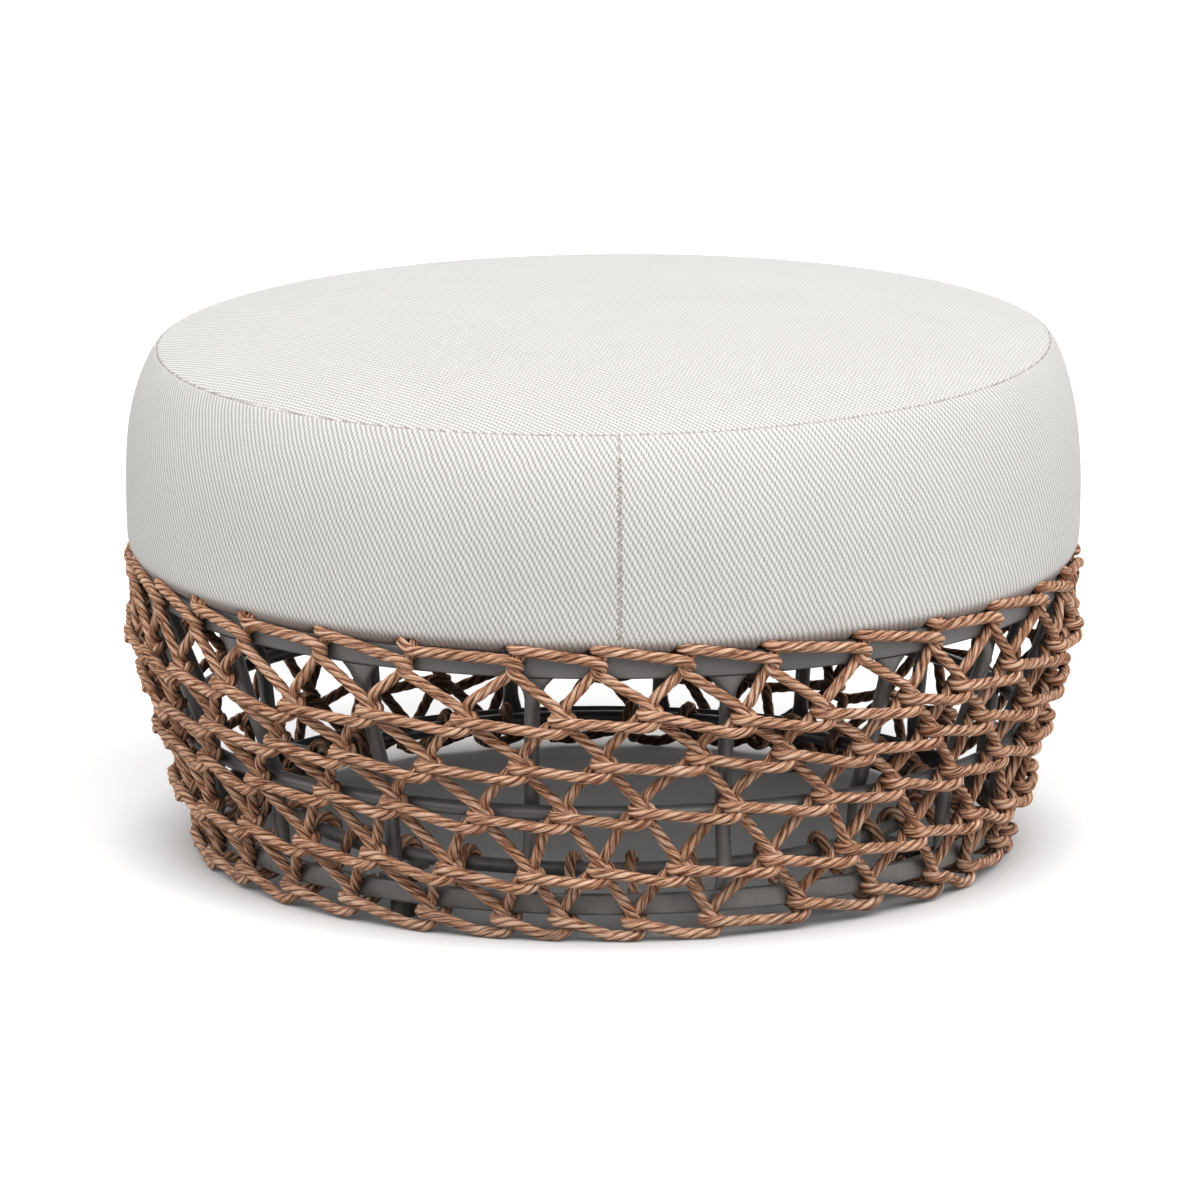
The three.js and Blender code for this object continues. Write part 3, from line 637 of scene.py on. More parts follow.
# %% Places of the knots
PAIRS = 32
CELL = 360 / PAIRS
TURN_SPREAD = 0.55
RISE_SPREAD = 1.6
ROWS = [
    # azimuth of column 0 in degrees, height and radius of the knot's middle in mm
    (-13.06, 236.5, 384.4),
    (-17.43, 194.6, 383.0),
    (-22.43, 156.9, 372.6),
    (-27.78, 117.2, 360.6),
    (-32.90, 67.6, 347.2),
    (-38.43, 22.5, 330.4),
]
MEASURED = [
    # first column, then (degrees to the right, mm up) for each measured knot
    (-4, [(-0.4, -3.2), (-1.7, -3.0), (-0.5, 0.5), (-0.1, -3.8), (2.3, 1.4), (1.0, 2.5), (0.1, 2.4),
          (-0.7, 0.2), (0.1, 0.4), (-0.1, -1.6), (-0.3, 2.2)]),
    (-4, [(-0.7, -4.3), (-1.9, -1.9), (-0.8, -6.5), (-0.6, -0.5), (0.5, -0.4), (1.1, 2.0), (0.3, 7.4),
          (0.5, 0.2), (-0.5, -0.6), (0.8, 0.2), (-2.0, 1.9), (-2.7, 5.0)]),
    (-4, [(-2.3, -7.0), (-1.7, -4.1), (0.2, -3.8), (-0.5, -2.8), (0.3, -4.9), (0.8, -1.7), (-0.2, 1.8),
          (0.2, 6.2), (0.0, 4.7), (-0.2, 1.1), (-0.5, 4.6), (-2.0, 5.5)]),
    (-2, [(-0.4, -4.4), (1.0, -0.2), (-0.1, -1.5), (0.6, -6.7), (0.0, -3.2), (-1.3, 0.6), (-0.9, 2.6),
          (0.5, 2.0), (0.0, 4.4), (-0.3, 1.7), (-0.6, 4.5)]),
    (-1, [(0.5, -0.2), (0.7, 0.5), (0.6, -4.6), (0.6, -6.8), (-1.4, -1.3), (-2.2, -0.5), (-0.8, 2.0),
          (-0.6, 2.4), (0.2, 5.0), (1.2, 5.0)]),
    (0, [(0.5, 0.6), (2.0, -1.6), (1.8, -2.5), (-1.3, -1.0), (-2.4, -2.8), (-2.9, -3.1), (-0.8, 4.4),
         (0.4, 5.6), (2.2, 1.2)]),
]


def knot_table():
    """(azimuth in radians, height and radius in metres) of every knot, by row and column."""
    chance = random.Random(7)
    table = []
    for (start, z, radius), (first, offsets) in zip(ROWS, MEASURED):
        line = []
        for column in range(PAIRS):
            turn, rise = chance.gauss(0, TURN_SPREAD), chance.gauss(0, RISE_SPREAD)
            index = (column - first) % PAIRS
            if index < len(offsets):
                turn, rise = offsets[index]
            line.append((math.radians(start + CELL * column + turn), (z + rise) * MM, radius * MM))
        table.append(line)
    return table


KNOTS = knot_table()
print("knots", len(KNOTS), "rows of", len(KNOTS[0]))

# %% [markdown]
# ## The rope's path
#
# A path is a list of points, each given beside a knot: millimetres to the right, up and
# out. One set of points serves every knot, and the knots' own places bring the variety.
# Where the rope passes a hoop or a ring, a point gives its height and radius instead.

# %% Path of one rope
ROPE_STEP = 2.2 * MM
LOWEST_ROPE = 5.0 * MM
TAUT_STEP = 9 * MM
CURVE_STEPS = 12
FOOT_LEAD = [
    (9.0, 33.0, 250.5), (8.0, 43.0, 250.0), (5.5, 51.5, 256.0), (3.0, 53.0, 264.0), (2.0, 46.0, 272.0),
    (3.5, 33.0, 279.0), (5.0, 22.0, 290.0), (6.5, 14.0, 306.0), (7.5, 11.5, 318.0), (6.5, 13.0, 326.0),
]
CLIMB = [(6.0, -9.5, -2.2), (2.5, -3.5, -2.0), (-3.2, 5.5, -0.5)]
RIM_TURN = [(-1.2, -6.5, 0.6), (-0.6, -2.0, -1.8), (3.0, 3.0, -3.6), (7.5, 7.5, -4.4)]
OVER_HOOP = [
    (8.5, 248.5, 381.0), (8.7, 251.2, 375.5), (8.0, 247.0, 368.2), (6.5, 236.0, 367.2), (2.5, 229.5, 367.2),
    (-1.8, 236.0, 367.2), (-3.0, 247.0, 368.2), (-3.0, 251.2, 375.5), (-1.5, 250.2, 382.0),
]
STITCH_START = [(5.0, 11.0, 0.8), (13.0, 10.2, 1.2)]
STITCH_END = [
    (-9.0, 3.8, 2.6), (-1.0, 2.4, 4.0), (5.0, -0.4, 2.6), (5.4, -3.4, -1.2), (1.0, -6.4, -4.2), (-4.0, -11.0, -3.4),
]
HOOK = [
    (6.2, 10.5, -0.3), (3.6, 5.4, -3.0), (-0.8, -0.4, -7.4), (-5.8, -2.8, -4.6), (-5.6, -4.2, 2.2),
    (0.8, -4.6, 6.0), (9.0, -5.0, 5.8),
]
HITCH = [
    (-14.0, -14.0, 3.2), (-4.5, -14.3, 5.0), (2.5, -12.6, 4.9), (7.4, -9.0, 0.8), (8.8, -3.4, -4.4),
    (5.6, -1.0, -8.0), (0.2, -4.2, -9.6), (-6.2, -7.8, -8.6), (-12.6, -12.4, -4.6),
]
FOOT_END = [(-14.0, -16.5, 1.0), (-4.5, -16.8, 2.4), (3.5, -14.4, 1.8), (8.0, -9.0, -2.0)]
FOOT_TAIL = [(9.5, 14.5, 319.0), (7.0, 14.0, 309.0), (2.0, 20.0, 301.0), (-4.0, 30.0, 299.0)]


def polar(azimuth, radius, z):
    """A point at an azimuth (radians, from the front, to the right), radius and height."""
    return (radius * math.sin(azimuth), -radius * math.cos(azimuth), z)


def at_knot(row, column, spots):
    azimuth, z, radius = KNOTS[row][column % PAIRS]
    return [polar(azimuth + right * MM / radius, radius + out * MM, z + up * MM) for right, up, out in spots]


def at_cage(row, column, spots):
    """Points at the azimuth of a knot, but at a height and radius of the cage, in mm."""
    azimuth, _, radius = KNOTS[row][column % PAIRS]
    return [polar(azimuth + right * MM / radius, reach * MM, z * MM) for right, z, reach in spots]


def taut(sections):
    """Joins the knots' points. Between two knots the rope is pulled straight."""
    points = list(sections[0])
    for section in sections[1:]:
        start, end = np.array(points[-1]), np.array(section[0])
        count = int(np.linalg.norm(end - start) / TAUT_STEP)
        points += [start + (end - start) * (step + 1) / (count + 1) for step in range(count)]
        points += section
    return np.array(points)


def rope_points(pair):
    """All points of one rope, from the base ring up and back to the foot."""
    foot = len(ROWS) - 1
    sections = [at_cage(foot, pair + foot, FOOT_LEAD)]
    sections += [at_knot(row, pair + row, CLIMB) for row in range(foot, 0, -1)]
    rim = at_knot(0, pair, RIM_TURN) + at_cage(0, pair, OVER_HOOP) + at_knot(0, pair, STITCH_START)
    sections += [rim, at_knot(0, pair + 1, STITCH_END)]
    for row in range(1, foot + 1):
        sections.append(at_knot(row, pair + row, HOOK))
        sections.append(at_knot(row, pair + row + 1, FOOT_END if row == foot else HITCH))
    sections.append(at_cage(foot, pair + foot + 1, FOOT_TAIL))
    return taut(sections)


def smooth_path(points):
    """A round curve through the points (centripetal Catmull-Rom)."""
    ends = np.vstack([2 * points[0] - points[1], points, 2 * points[-1] - points[-2]])
    fine = []
    for p0, p1, p2, p3 in zip(ends, ends[1:], ends[2:], ends[3:]):
        t1 = np.linalg.norm(p1 - p0) ** 0.5
        t2 = t1 + np.linalg.norm(p2 - p1) ** 0.5
        t3 = t2 + np.linalg.norm(p3 - p2) ** 0.5
        t = np.linspace(t1, t2, CURVE_STEPS, endpoint=False)[:, None]
        a1 = (t1 - t) / t1 * p0 + t / t1 * p1
        a2 = (t2 - t) / (t2 - t1) * p1 + (t - t1) / (t2 - t1) * p2
        a3 = (t3 - t) / (t3 - t2) * p2 + (t - t2) / (t3 - t2) * p3
        b1 = (t2 - t) / t2 * a1 + t / t2 * a2
        b2 = (t3 - t) / (t3 - t1) * a2 + (t - t1) / (t3 - t1) * a3
        fine.append((t2 - t) / (t2 - t1) * b1 + (t - t1) / (t2 - t1) * b2)
    return np.vstack([*fine, points[-1:]])


def travelled(line):
    """How far along the line each of its points lies."""
    return np.concatenate([[0], np.cumsum(np.linalg.norm(np.diff(line, axis=0), axis=1))])


def even_steps(line, step):
    lengths = travelled(line)
    count = max(2, int(round(lengths[-1] / step)))
    wanted = np.linspace(0, lengths[-1], count + 1)
    return np.column_stack([np.interp(wanted, lengths, line[:, axis]) for axis in range(3)])


def relax(line, passes):
    """Evens out kinks, as a rope's stiffness does, and keeps the rope off the floor."""
    for _ in range(passes):
        line[1:-1] += 0.5 * ((line[:-2] + line[2:]) / 2 - line[1:-1])
    line[:, 2] = np.maximum(line[:, 2], LOWEST_ROPE)
    return line


rope_lines = [relax(even_steps(smooth_path(rope_points(pair)), ROPE_STEP), 3) for pair in range(PAIRS)]
rope_length = sum(travelled(line)[-1] for line in rope_lines)
print("rope", round(rope_length, 2), "m in all,", sum(map(len, rope_lines)), "rings")

# %% [markdown]
# ## Four plies
#
# The rope is laid from four plies, so its section has four lobes, and the lobes wind
# round as the rope goes. In Blender this is a curve with the lobed section as its bevel
# and a tilt that grows along it. Turned into a mesh, each ring of points knows how far
# along the rope it is and on which ply it lies; both are stored, so that the fibres of
# the material can follow the ply.

# %% Rope section and ropes
PLIES = 4
PLY_RADIUS = 2.72 * MM
PLY_CENTRE = 1.9 * MM
ROPE_RADIUS = PLY_CENTRE + PLY_RADIUS
PLY_ANGLES = (-45, -30, -11, 11, 30)
LAY_LENGTH = 46 * MM
FIBRE_ANGLE = math.radians(23)
ROPES_PER_PIECE = 4


def section_points():
    points = []
    for ply in range(PLIES):
        for turn in map(math.radians, PLY_ANGLES):
            inside = PLY_RADIUS**2 - (PLY_CENTRE * math.sin(turn)) ** 2
            reach = PLY_CENTRE * math.cos(turn) + math.sqrt(inside)
            angle = ply * math.tau / PLIES + turn
            points.append((reach * math.cos(angle), reach * math.sin(angle)))
    return points


def section_curve():
    data = bpy.data.curves.new("rope_section", "CURVE")
    data.dimensions = "2D"
    spline = data.splines.new("POLY")
    points = section_points()
    spline.points.add(len(points) - 1)
    for point, (x, y) in zip(spline.points, points):
        point.co = (x, y, 0, 1)
    spline.use_cyclic_u = True
    return add_object("rope_section", data)


def store(piece, name, kind, values, domain="POINT"):
    attribute = piece.data.attributes.new(name, kind, domain)
    key = "vector" if kind == "FLOAT_VECTOR" else "value"
    attribute.data.foreach_set(key, np.asarray(values, np.float32).ravel())


def rope_piece(name, lines, section, chance):
    """One mesh for a few ropes, with the length along the rope and the ply's angle stored."""
    data = bpy.data.curves.new(name, "CURVE")
    configure(data, dimensions="3D", twist_mode="MINIMUM", bevel_mode="OBJECT", bevel_object=section)
    along, tone = [], []
    for line in lines:
        spline = data.splines.new("POLY")
        spline.points.add(len(line) - 1)
        steps = travelled(line)
        start = chance.uniform(0, math.tau)
        spline.points.foreach_set("co", np.column_stack([line, np.ones(len(line))]).ravel())
        spline.points.foreach_set("tilt", start - math.tau * steps / LAY_LENGTH)
        along.append(steps)
        tone.append(np.full(len(line), chance.random()))
    only(add_object(name, data))
    bpy.ops.object.convert(target="MESH")
    made = bpy.context.active_object
    open_edit()
    bpy.ops.mesh.fill_holes(sides=0)
    close_edit()
    sides = PLIES * len(PLY_ANGLES)
    along, tone = (np.repeat(np.concatenate(values), sides) for values in (along, tone))
    assert len(made.data.vertices) == len(along)
    side = np.arange(len(along)) % sides
    in_ply = np.array(PLY_ANGLES)[side % len(PLY_ANGLES)]
    ply = side // len(PLY_ANGLES)
    fibre_turn = math.tan(FIBRE_ANGLE) / ROPE_RADIUS - math.tau / LAY_LENGTH
    angle = along * fibre_turn - np.radians(in_ply + 360 / PLIES * ply)
    lay = np.column_stack([along, np.cos(angle) * ROPE_RADIUS, np.sin(angle) * ROPE_RADIUS])
    store(made, "lay", "FLOAT_VECTOR", lay)
    store(made, "crest", "FLOAT", 1 - np.abs(in_ply) / max(map(abs, PLY_ANGLES)))
    store(made, "tone", "FLOAT", tone)
    return made


print("rope section", len(section_points()), "points,", round(2 * ROPE_RADIUS / MM, 2), "mm across")

# %% [markdown]
# ## The rope's finish
#
# The rope is a matt, warm tan cord. Each ply is itself twisted from yarns, so its streaks
# run flatter than the ply does. Two sizes of the shared fibres make them: broad ones for
# the yarns and hair-fine ones within. The grooves between the plies get painted shade, and
# the tone drifts slowly along a rope and from one rope to the next.


# %% Rope material
def stored(tree, name, output="Fac"):
    """What is stored under this name on the points of the mesh."""
    return add_node(tree, "Attribute", {"attribute_name": name}).outputs[output]


rope_material, tree, shader = new_material("rope", Roughness=0.78, Specular_IOR_Level=0.3)
lay, tone, place = stored(tree, "lay", "Vector"), stored(tree, "tone"), object_place(tree)
seed = math_node(tree, "MULTIPLY", tone, 40.0)
yarns = use_group(tree, fibres, Place=lay, Stretch=(75.0, 620.0, 620.0), Seed=seed)
hairs = use_group(tree, fibres, Place=lay, Stretch=(220.0, 2600.0, 2600.0), Seed=seed)
drift = use_group(tree, fibres, Place=lay, Stretch=(16.0, 120.0, 120.0), Seed=seed)
streak = math_node(tree, "ADD", math_node(tree, "MULTIPLY", yarns, 0.74), math_node(tree, "MULTIPLY", hairs, 0.26))
colour = ramp(
    tree,
    streak,
    (0.37, (0.12, 0.048, 0.024)),
    (0.44, (0.43, 0.195, 0.105)),
    (0.515, (0.80, 0.450, 0.280)),
    (0.60, (1.0, 0.72, 0.55)),
)
slow_tone = ramp(tree, drift, (0.3, (0.76, 0.72, 0.68)), (0.65, 1.0))
# Painted shade in the grooves between the plies, from the stored crest.
painted_groove_shade = ramp(tree, stored(tree, "crest"), (0.0, (0.13, 0.08, 0.055)), (0.3, (0.8, 0.73, 0.68)), (0.7, 1.0))
rope_tone = ramp(tree, tone, (0.0, (0.86, 0.84, 0.82)), (1.0, 1.0))
for share, by in ((0.75, slow_tone), (1.0, painted_groove_shade), (0.6, rope_tone)):
    colour = mix_colour(tree, share, colour, by, "MULTIPLY")
colour = use_group(tree, dust, Place=place, Colour=colour, Height=0.05, Amount=0.25)
# Painted shade on the rope's faces that look towards the axis.
colour = use_group(tree, painted_inner_shade, Place=place, Colour=colour, Darkest=0.25)
finish_material(tree, shader, colour, None, streak, 0.9, 0.0012)
print("rope finish ready")

# %% [markdown]
# ## Eight pieces of the net
#
# The 32 ropes are gathered in eight pieces of four, as in the CAD. The order of the pieces
# follows the CAD's sectors, so that each piece stands where its node stands.

# %% Rope pieces
section = section_curve()
chance = random.Random(11)
for index in range(PAIRS // ROPES_PER_PIECE):
    first = index * ROPES_PER_PIECE - 1
    lines = [rope_lines[pair % PAIRS] for pair in range(first, first + ROPES_PER_PIECE)]
    name = f"rope_net_{index + 1}"
    piece = rope_piece(name, lines, section, chance)
    smooth_by_angle(piece, 80)
    hand_over(piece, name, rope_material, "base", [f"rope_weave_{index + 1}"])
    print(name, sum(len(face.vertices) - 2 for face in piece.data.polygons), "triangles")
bpy.data.objects.remove(section)

# %% [markdown]
# ## The cushion's shape
#
# The cushion is a thick round of foam in a tight cover. The band round the side bulges a
# little and rolls in towards the top seam, the top panel has a soft crown, and the
# underside is flat where it lies on the deck. A circle is filled and extruded ring by ring
# along the outline that was measured on the photograph. Near the two seams the rings
# stand close together, so that the seams keep their crease.

# %% Cushion outline and first form
OUTLINE = [
    # radius and height in mm, from the middle of the underside to the seam
    (60, 255.6), (180, 255.6), (280, 255.6), (335, 255.6), (352, 255.4), (362, 254.6), (370, 253.0), (376, 251.8),
    (378.6, 251.4), (380.2, 251.3), (381.8, 251.5), (384.4, 252.6), (387.2, 255.8), (389.0, 261.5), (389.8, 269),
    (390.2, 279), (390.4, 291), (390.4, 304), (390.2, 318), (389.6, 332), (388.6, 346), (386.9, 360), (384.5, 373),
    (381.4, 386), (377.4, 398), (372.6, 408), (369.2, 413.2), (366.6, 416.4), (365.0, 418.0), (364.0, 418.9),
]
SEAM_RADIUS, SEAM_Z = 364, 418.9
UNDER_SEAM_RADIUS, UNDER_SEAM_Z = 380.2, 251.3
CROWN = 29
CROWN_POWER = 2.5
CROWN_RINGS = 20
CROWN_SPREAD = 1.2
BESIDE_SEAM = (1, 2.8, 6)
AROUND = 240
SEAM_AZIMUTH = math.radians(1.9)


def crown_outline():
    shares = [reach / SEAM_RADIUS for reach in BESIDE_SEAM]
    shares += [(index / CROWN_RINGS) ** CROWN_SPREAD for index in range(2, CROWN_RINGS)]
    shares = [1 - inward for inward in shares]
    return [(SEAM_RADIUS * share, SEAM_Z + CROWN * (1 - share**CROWN_POWER)) for share in shares]


def cushion_form():
    rings = OUTLINE + crown_outline()
    radius, z = rings[0]
    deselect()
    bpy.ops.mesh.primitive_circle_add(
        vertices=AROUND, radius=radius * MM, fill_type="TRIFAN", location=(0, 0, z * MM), rotation=(0, 0, SEAM_AZIMUTH)
    )
    bpy.ops.object.transform_apply()
    open_edit("DESELECT")
    bpy.ops.mesh.select_non_manifold()
    for (r0, z0), (r1, z1) in zip(rings, rings[1:]):
        bpy.ops.mesh.extrude_edges_move(TRANSFORM_OT_translate={"value": (0, 0, (z1 - z0) * MM)})
        bpy.ops.transform.resize(value=(r1 / r0, r1 / r0, 1), center_override=(0, 0, z1 * MM))
    bpy.ops.mesh.edge_face_add()
    bpy.ops.mesh.poke()
    close_edit()
    return bpy.context.active_object


cushion = cushion_form()
print("cushion", len(cushion.data.vertices), "points")

# %% [markdown]
# ## Blowing the cushion up with cloth
#
# The foam presses the cover out everywhere but at the seams, where several layers are
# sewn and hold it back. Cloth simulation shows just that: air pressure pushes, the rows
# of points along the seams and the part that rests are pinned, and gravity is off. The
# form starts a little slimmer, and no point may travel more than a few millimetres.

# %% Cloth simulation
SLIMMER = 1.6 * MM
MOST_TRAVEL = 4.5 * MM
PINNED_REACH = 3 * MM
FREE_REACH = 30 * MM
RESTING_Z = 256.5 * MM
CLOTH_FRAMES = 20
CLOTH = {
    "quality": 6,
    "mass": 0.3,
    "tension_stiffness": 40,
    "compression_stiffness": 40,
    "shear_stiffness": 20,
    "bending_stiffness": 4,
    "use_pressure": True,
    "uniform_pressure_force": 18,
    "vertex_group_mass": "pinned",
}


def radii(points):
    return np.hypot(points[:, 0], points[:, 1])


def seam_distance(points):
    """How far each point lies from the nearer of the top and the bottom seam, in metres."""
    radius = radii(points)
    top = np.hypot(radius - SEAM_RADIUS * MM, points[:, 2] - SEAM_Z * MM)
    under = np.hypot(radius - UNDER_SEAM_RADIUS * MM, points[:, 2] - UNDER_SEAM_Z * MM)
    return np.minimum(top, under)


def inflate(piece):
    """Blows the piece up. It gives back how far its points moved at most and on average."""
    start = points_of(piece)
    free = np.clip((seam_distance(start) - PINNED_REACH) / FREE_REACH, 0, 1)
    free[start[:, 2] < RESTING_Z] = 0
    slim = start - read(piece.data.vertices, "normal") * (SLIMMER * free)[:, None]
    set_points(piece, slim)
    pinned = piece.vertex_groups.new(name="pinned")
    pinned.add([int(index) for index in np.flatnonzero(free == 0)], 1.0, "REPLACE")
    cloth = piece.modifiers.new("cloth", "CLOTH")
    configure(cloth.settings, **CLOTH)
    cloth.settings.effector_weights.gravity = 0
    configure(cloth.point_cache, frame_start=1, frame_end=CLOTH_FRAMES)
    for step in range(1, CLOTH_FRAMES + 1):
        bpy.context.scene.frame_set(step)
    only(piece)
    bpy.ops.object.modifier_apply(modifier=cloth.name)
    bpy.context.scene.frame_set(1)
    move = points_of(piece) - slim
    length = np.linalg.norm(move, axis=1)
    scale = np.minimum(1, MOST_TRAVEL / np.maximum(length, 1e-9))
    set_points(piece, slim + move * scale[:, None])
    piece.vertex_groups.clear()
    return float(length.max()), float(length.mean())


print("cloth moved at most and on average", inflate(cushion))

# %% [markdown]
# ## The upright seams of the band
#
# The band is sewn from two halves, with one upright seam at the front and one at the
# back. A plane through the axis cuts both at once: cuts close beside it give the points
# for the crease. Then one subdivision rounds the whole form, and the points near each
# seam are drawn in, deepest on the seam itself. The cover also puckers a little along a
# seam, and the foam is never quite even, so two gentle noises move the points as well.
# The underside rests on the ropes that wrap the top hoop and sinks in between them.

# %% Creases, puckers and unevenness
CUTS = (-5.2, -2.6, -1.1, 1.1, 2.6, 5.2)
CREASE_DEPTH = 1.5 * MM
CREASE_REACH = 1.1 * MM
SEAM_LINE = 0.9 * MM
UPRIGHT_SHARE = 0.55
PUCKER = 0.35 * MM
PUCKER_REACH = 7 * MM
PUCKER_REACH_UP = 6 * MM
RIPPLES = ((151, 0, 0.5), (97, 1, 0.3), (211, 2, 0.3))  # waves per radian, start and share
RIPPLES_UP = ((430, 0, 0.5), (610, 1, 0.4))
UNEVEN = 0.9 * MM
UNEVEN_LENGTHS = (0.11, 0.16, 0.21, 0.3, 0.13)
UNEVEN_REACH = 30 * MM
RAISED_FROM_Z = 256.2 * MM
RAISED_HEIGHT = 10 * MM
WRAP_SIDE = 3 * MM
WRAP_REACH = 8 * MM
WRAP_EDGE = 4 * MM
SINK_RADII = (325, 350, 362, 370, 376, 379, 380.2, 382, 385)
SINK = (0, 6.5, 9.2, 7.7, 6.5, 6.6, 6.6, 4.2, 0)
FULLER = 4.0 * MM
FULLER_AZIMUTH = math.radians(80)
FULLER_FROM_Z = 350 * MM
FULLER_HEIGHT = 50 * MM
FULLER_RADIUS = 300 * MM
EDGE_SHADE_Z, EDGE_SHADE_HEIGHT, EDGE_SHADE_RADIUS, EDGE_SHADE_WIDTH = 260, 9, 366, 8
SEAM_SIDE = Vector((math.cos(SEAM_AZIMUTH), math.sin(SEAM_AZIMUTH), 0))


def in_band(points, low, high):
    """Which points lie on the band, between two heights in mm."""
    outside = radii(points) > (SEAM_RADIUS - 0.5) * MM
    return (points[:, 2] > low * MM) & (points[:, 2] < high * MM) & outside


def cut_band(piece):
    only(piece)
    for cut in CUTS:
        bpy.ops.object.mode_set(mode="OBJECT")
        centres = read(piece.data.polygons, "center")
        piece.data.polygons.foreach_set("select", in_band(centres, UNDER_SEAM_Z + 0.7, SEAM_Z))
        bpy.ops.object.mode_set(mode="EDIT")
        bpy.ops.mesh.select_mode(type="FACE")
        bpy.ops.mesh.bisect(plane_co=SEAM_SIDE * cut * MM, plane_no=SEAM_SIDE)
    bpy.ops.mesh.select_mode(type="VERT")
    bpy.ops.object.mode_set(mode="OBJECT")


def upright_seam_distance(points):
    side = np.abs(points[:, 0] * SEAM_SIDE.x + points[:, 1] * SEAM_SIDE.y)
    return np.where(in_band(points, UNDER_SEAM_Z - 0.1, SEAM_Z + 0.1), side, 1.0)


def closeness(round_seams, upright, reach):
    """1 on the round seams, less on the upright ones, and 0 away from both."""
    return np.maximum(np.exp(-((round_seams / reach) ** 2)), UPRIGHT_SHARE * np.exp(-((upright / reach) ** 2)))


def ripple(along, waves):
    return sum(np.sin(along * times + start) * share for times, start, share in waves)


def slow_noise(points):
    """A smooth noise from a few sine waves that run in different directions."""
    total = np.zeros(len(points))
    chance = random.Random(5)
    for length in UNEVEN_LENGTHS:
        way = np.array([chance.uniform(-1, 1) for _ in range(3)])
        way /= np.linalg.norm(way)
        total += np.sin(points @ way * math.tau / length + chance.uniform(0, 6.3))
    return total / len(UNEVEN_LENGTHS)


def azimuths(points):
    return np.arctan2(points[:, 0], -points[:, 1])


def wrapped(turn):
    """The same turn, between half a turn back and half a turn on."""
    return np.remainder(turn + math.pi, math.tau) - math.pi


def settle(points):
    """How far the underside sinks on to the top hoop, between the ropes that wrap it."""
    radius = radii(points)
    wraps = np.array([turn + WRAP_SIDE / reach for turn, _, reach in KNOTS[0]])
    apart = np.abs(wrapped(azimuths(points)[:, None] - wraps)).min(axis=1) * radius
    between = np.clip((apart - WRAP_REACH) / WRAP_EDGE, 0, 1)
    sink = np.interp(radius / MM, SINK_RADII, SINK) * MM
    return np.where(points[:, 2] < RESTING_Z, sink * between * between * (3 - 2 * between), 0)


def detail(piece):
    """Creases and puckers at the seams, a slow unevenness, a fuller right side and the sunk underside."""
    points = points_of(piece)
    normals = read(piece.data.vertices, "normal")
    round_seams, upright = seam_distance(points), upright_seam_distance(points)
    near = np.minimum(round_seams, upright)
    azimuth = azimuths(points)
    pucker = ripple(azimuth, RIPPLES) * np.exp(-round_seams / PUCKER_REACH)
    pucker = PUCKER * (pucker + ripple(points[:, 2], RIPPLES_UP) * np.exp(-upright / PUCKER_REACH_UP))
    slow = UNEVEN * slow_noise(points) * np.clip(near / UNEVEN_REACH, 0, 1)
    raised = np.clip((points[:, 2] - RAISED_FROM_Z) / RAISED_HEIGHT, 0, 1)
    move = (pucker + slow) * raised - CREASE_DEPTH * closeness(round_seams, upright, CREASE_REACH)
    moved = points + normals * move[:, None]
    fuller = np.cos(azimuth - FULLER_AZIMUTH) * np.clip((points[:, 2] - FULLER_FROM_Z) / FULLER_HEIGHT, 0, 1)
    fuller *= np.clip(radii(points) / FULLER_RADIUS - 0.2, 0, 1)
    moved[:, 2] += FULLER * fuller - settle(points)
    set_points(piece, moved)
    return closeness(round_seams, upright, SEAM_LINE)


def painted_edge_shade(piece):
    """1 on the lower edge of the band, where shade and a brown reflection of the ropes are painted."""
    points = points_of(piece) / MM
    low = np.clip((EDGE_SHADE_Z - points[:, 2]) / EDGE_SHADE_HEIGHT, 0, 1) ** 2
    return low * np.clip((radii(points) - EDGE_SHADE_RADIUS) / EDGE_SHADE_WIDTH, 0, 1)


cut_band(cushion)
modify(cushion, "SUBSURF", levels=1, render_levels=1, use_limit_surface=False)
store(cushion, "seam", "FLOAT", detail(cushion))
store(cushion, "painted_edge_shade", "FLOAT", painted_edge_shade(cushion))
print("cushion", len(cushion.data.polygons), "faces")

# %% [markdown]
# ## Which way the weave runs
#
# The fabric has a bold diagonal weave, and it follows each panel: round the band it runs
# with the azimuth and the height, on the top and under the cushion it lies flat. So each
# face corner stores its place on its own panel in millimetres, as a tailor's pattern
# would give it. Corners and not points, because a seam's points belong to two panels.

# %% Place on the panels
BAND_RADIUS = 390
BAND_ROLL = 0.55
FLAT_TURN = math.radians(13)
BACK_SHIFT = (1.7, 0.9)
TOP_FROM_Z, UNDER_TO_Z = 350, 300


def store_panels(piece):
    mesh = piece.data
    corner = points_of(piece)[[loop.vertex_index for loop in mesh.loops]] / MM
    centre = np.repeat(read(mesh.polygons, "center") / MM, [face.loop_total for face in mesh.polygons], axis=0)
    radius = radii(centre)
    flat = (radius < SEAM_RADIUS) & (centre[:, 2] > TOP_FROM_Z)
    flat |= (radius < UNDER_SEAM_RADIUS) & (centre[:, 2] < UNDER_TO_Z)
    middle_turn = azimuths(centre)
    turn = middle_turn + wrapped(azimuths(corner) - middle_turn)
    up_band = corner[:, 2] + (BAND_RADIUS - radii(corner)) * BAND_ROLL
    cos, sin = math.cos(FLAT_TURN), math.sin(FLAT_TURN)
    turned = np.column_stack([corner[:, 0] * cos + corner[:, 1] * sin, corner[:, 1] * cos - corner[:, 0] * sin])
    place = np.where(flat[:, None], turned, np.column_stack([turn * BAND_RADIUS, up_band]))
    place[~flat & (np.cos(middle_turn - SEAM_AZIMUTH - math.pi / 2) < 0)] += BACK_SHIFT
    store(piece, "panel", "FLOAT_VECTOR", np.column_stack([place, np.zeros(len(place))]), "CORNER")


store_panels(cushion)
print("panels stored for", len(cushion.data.loops), "corners")

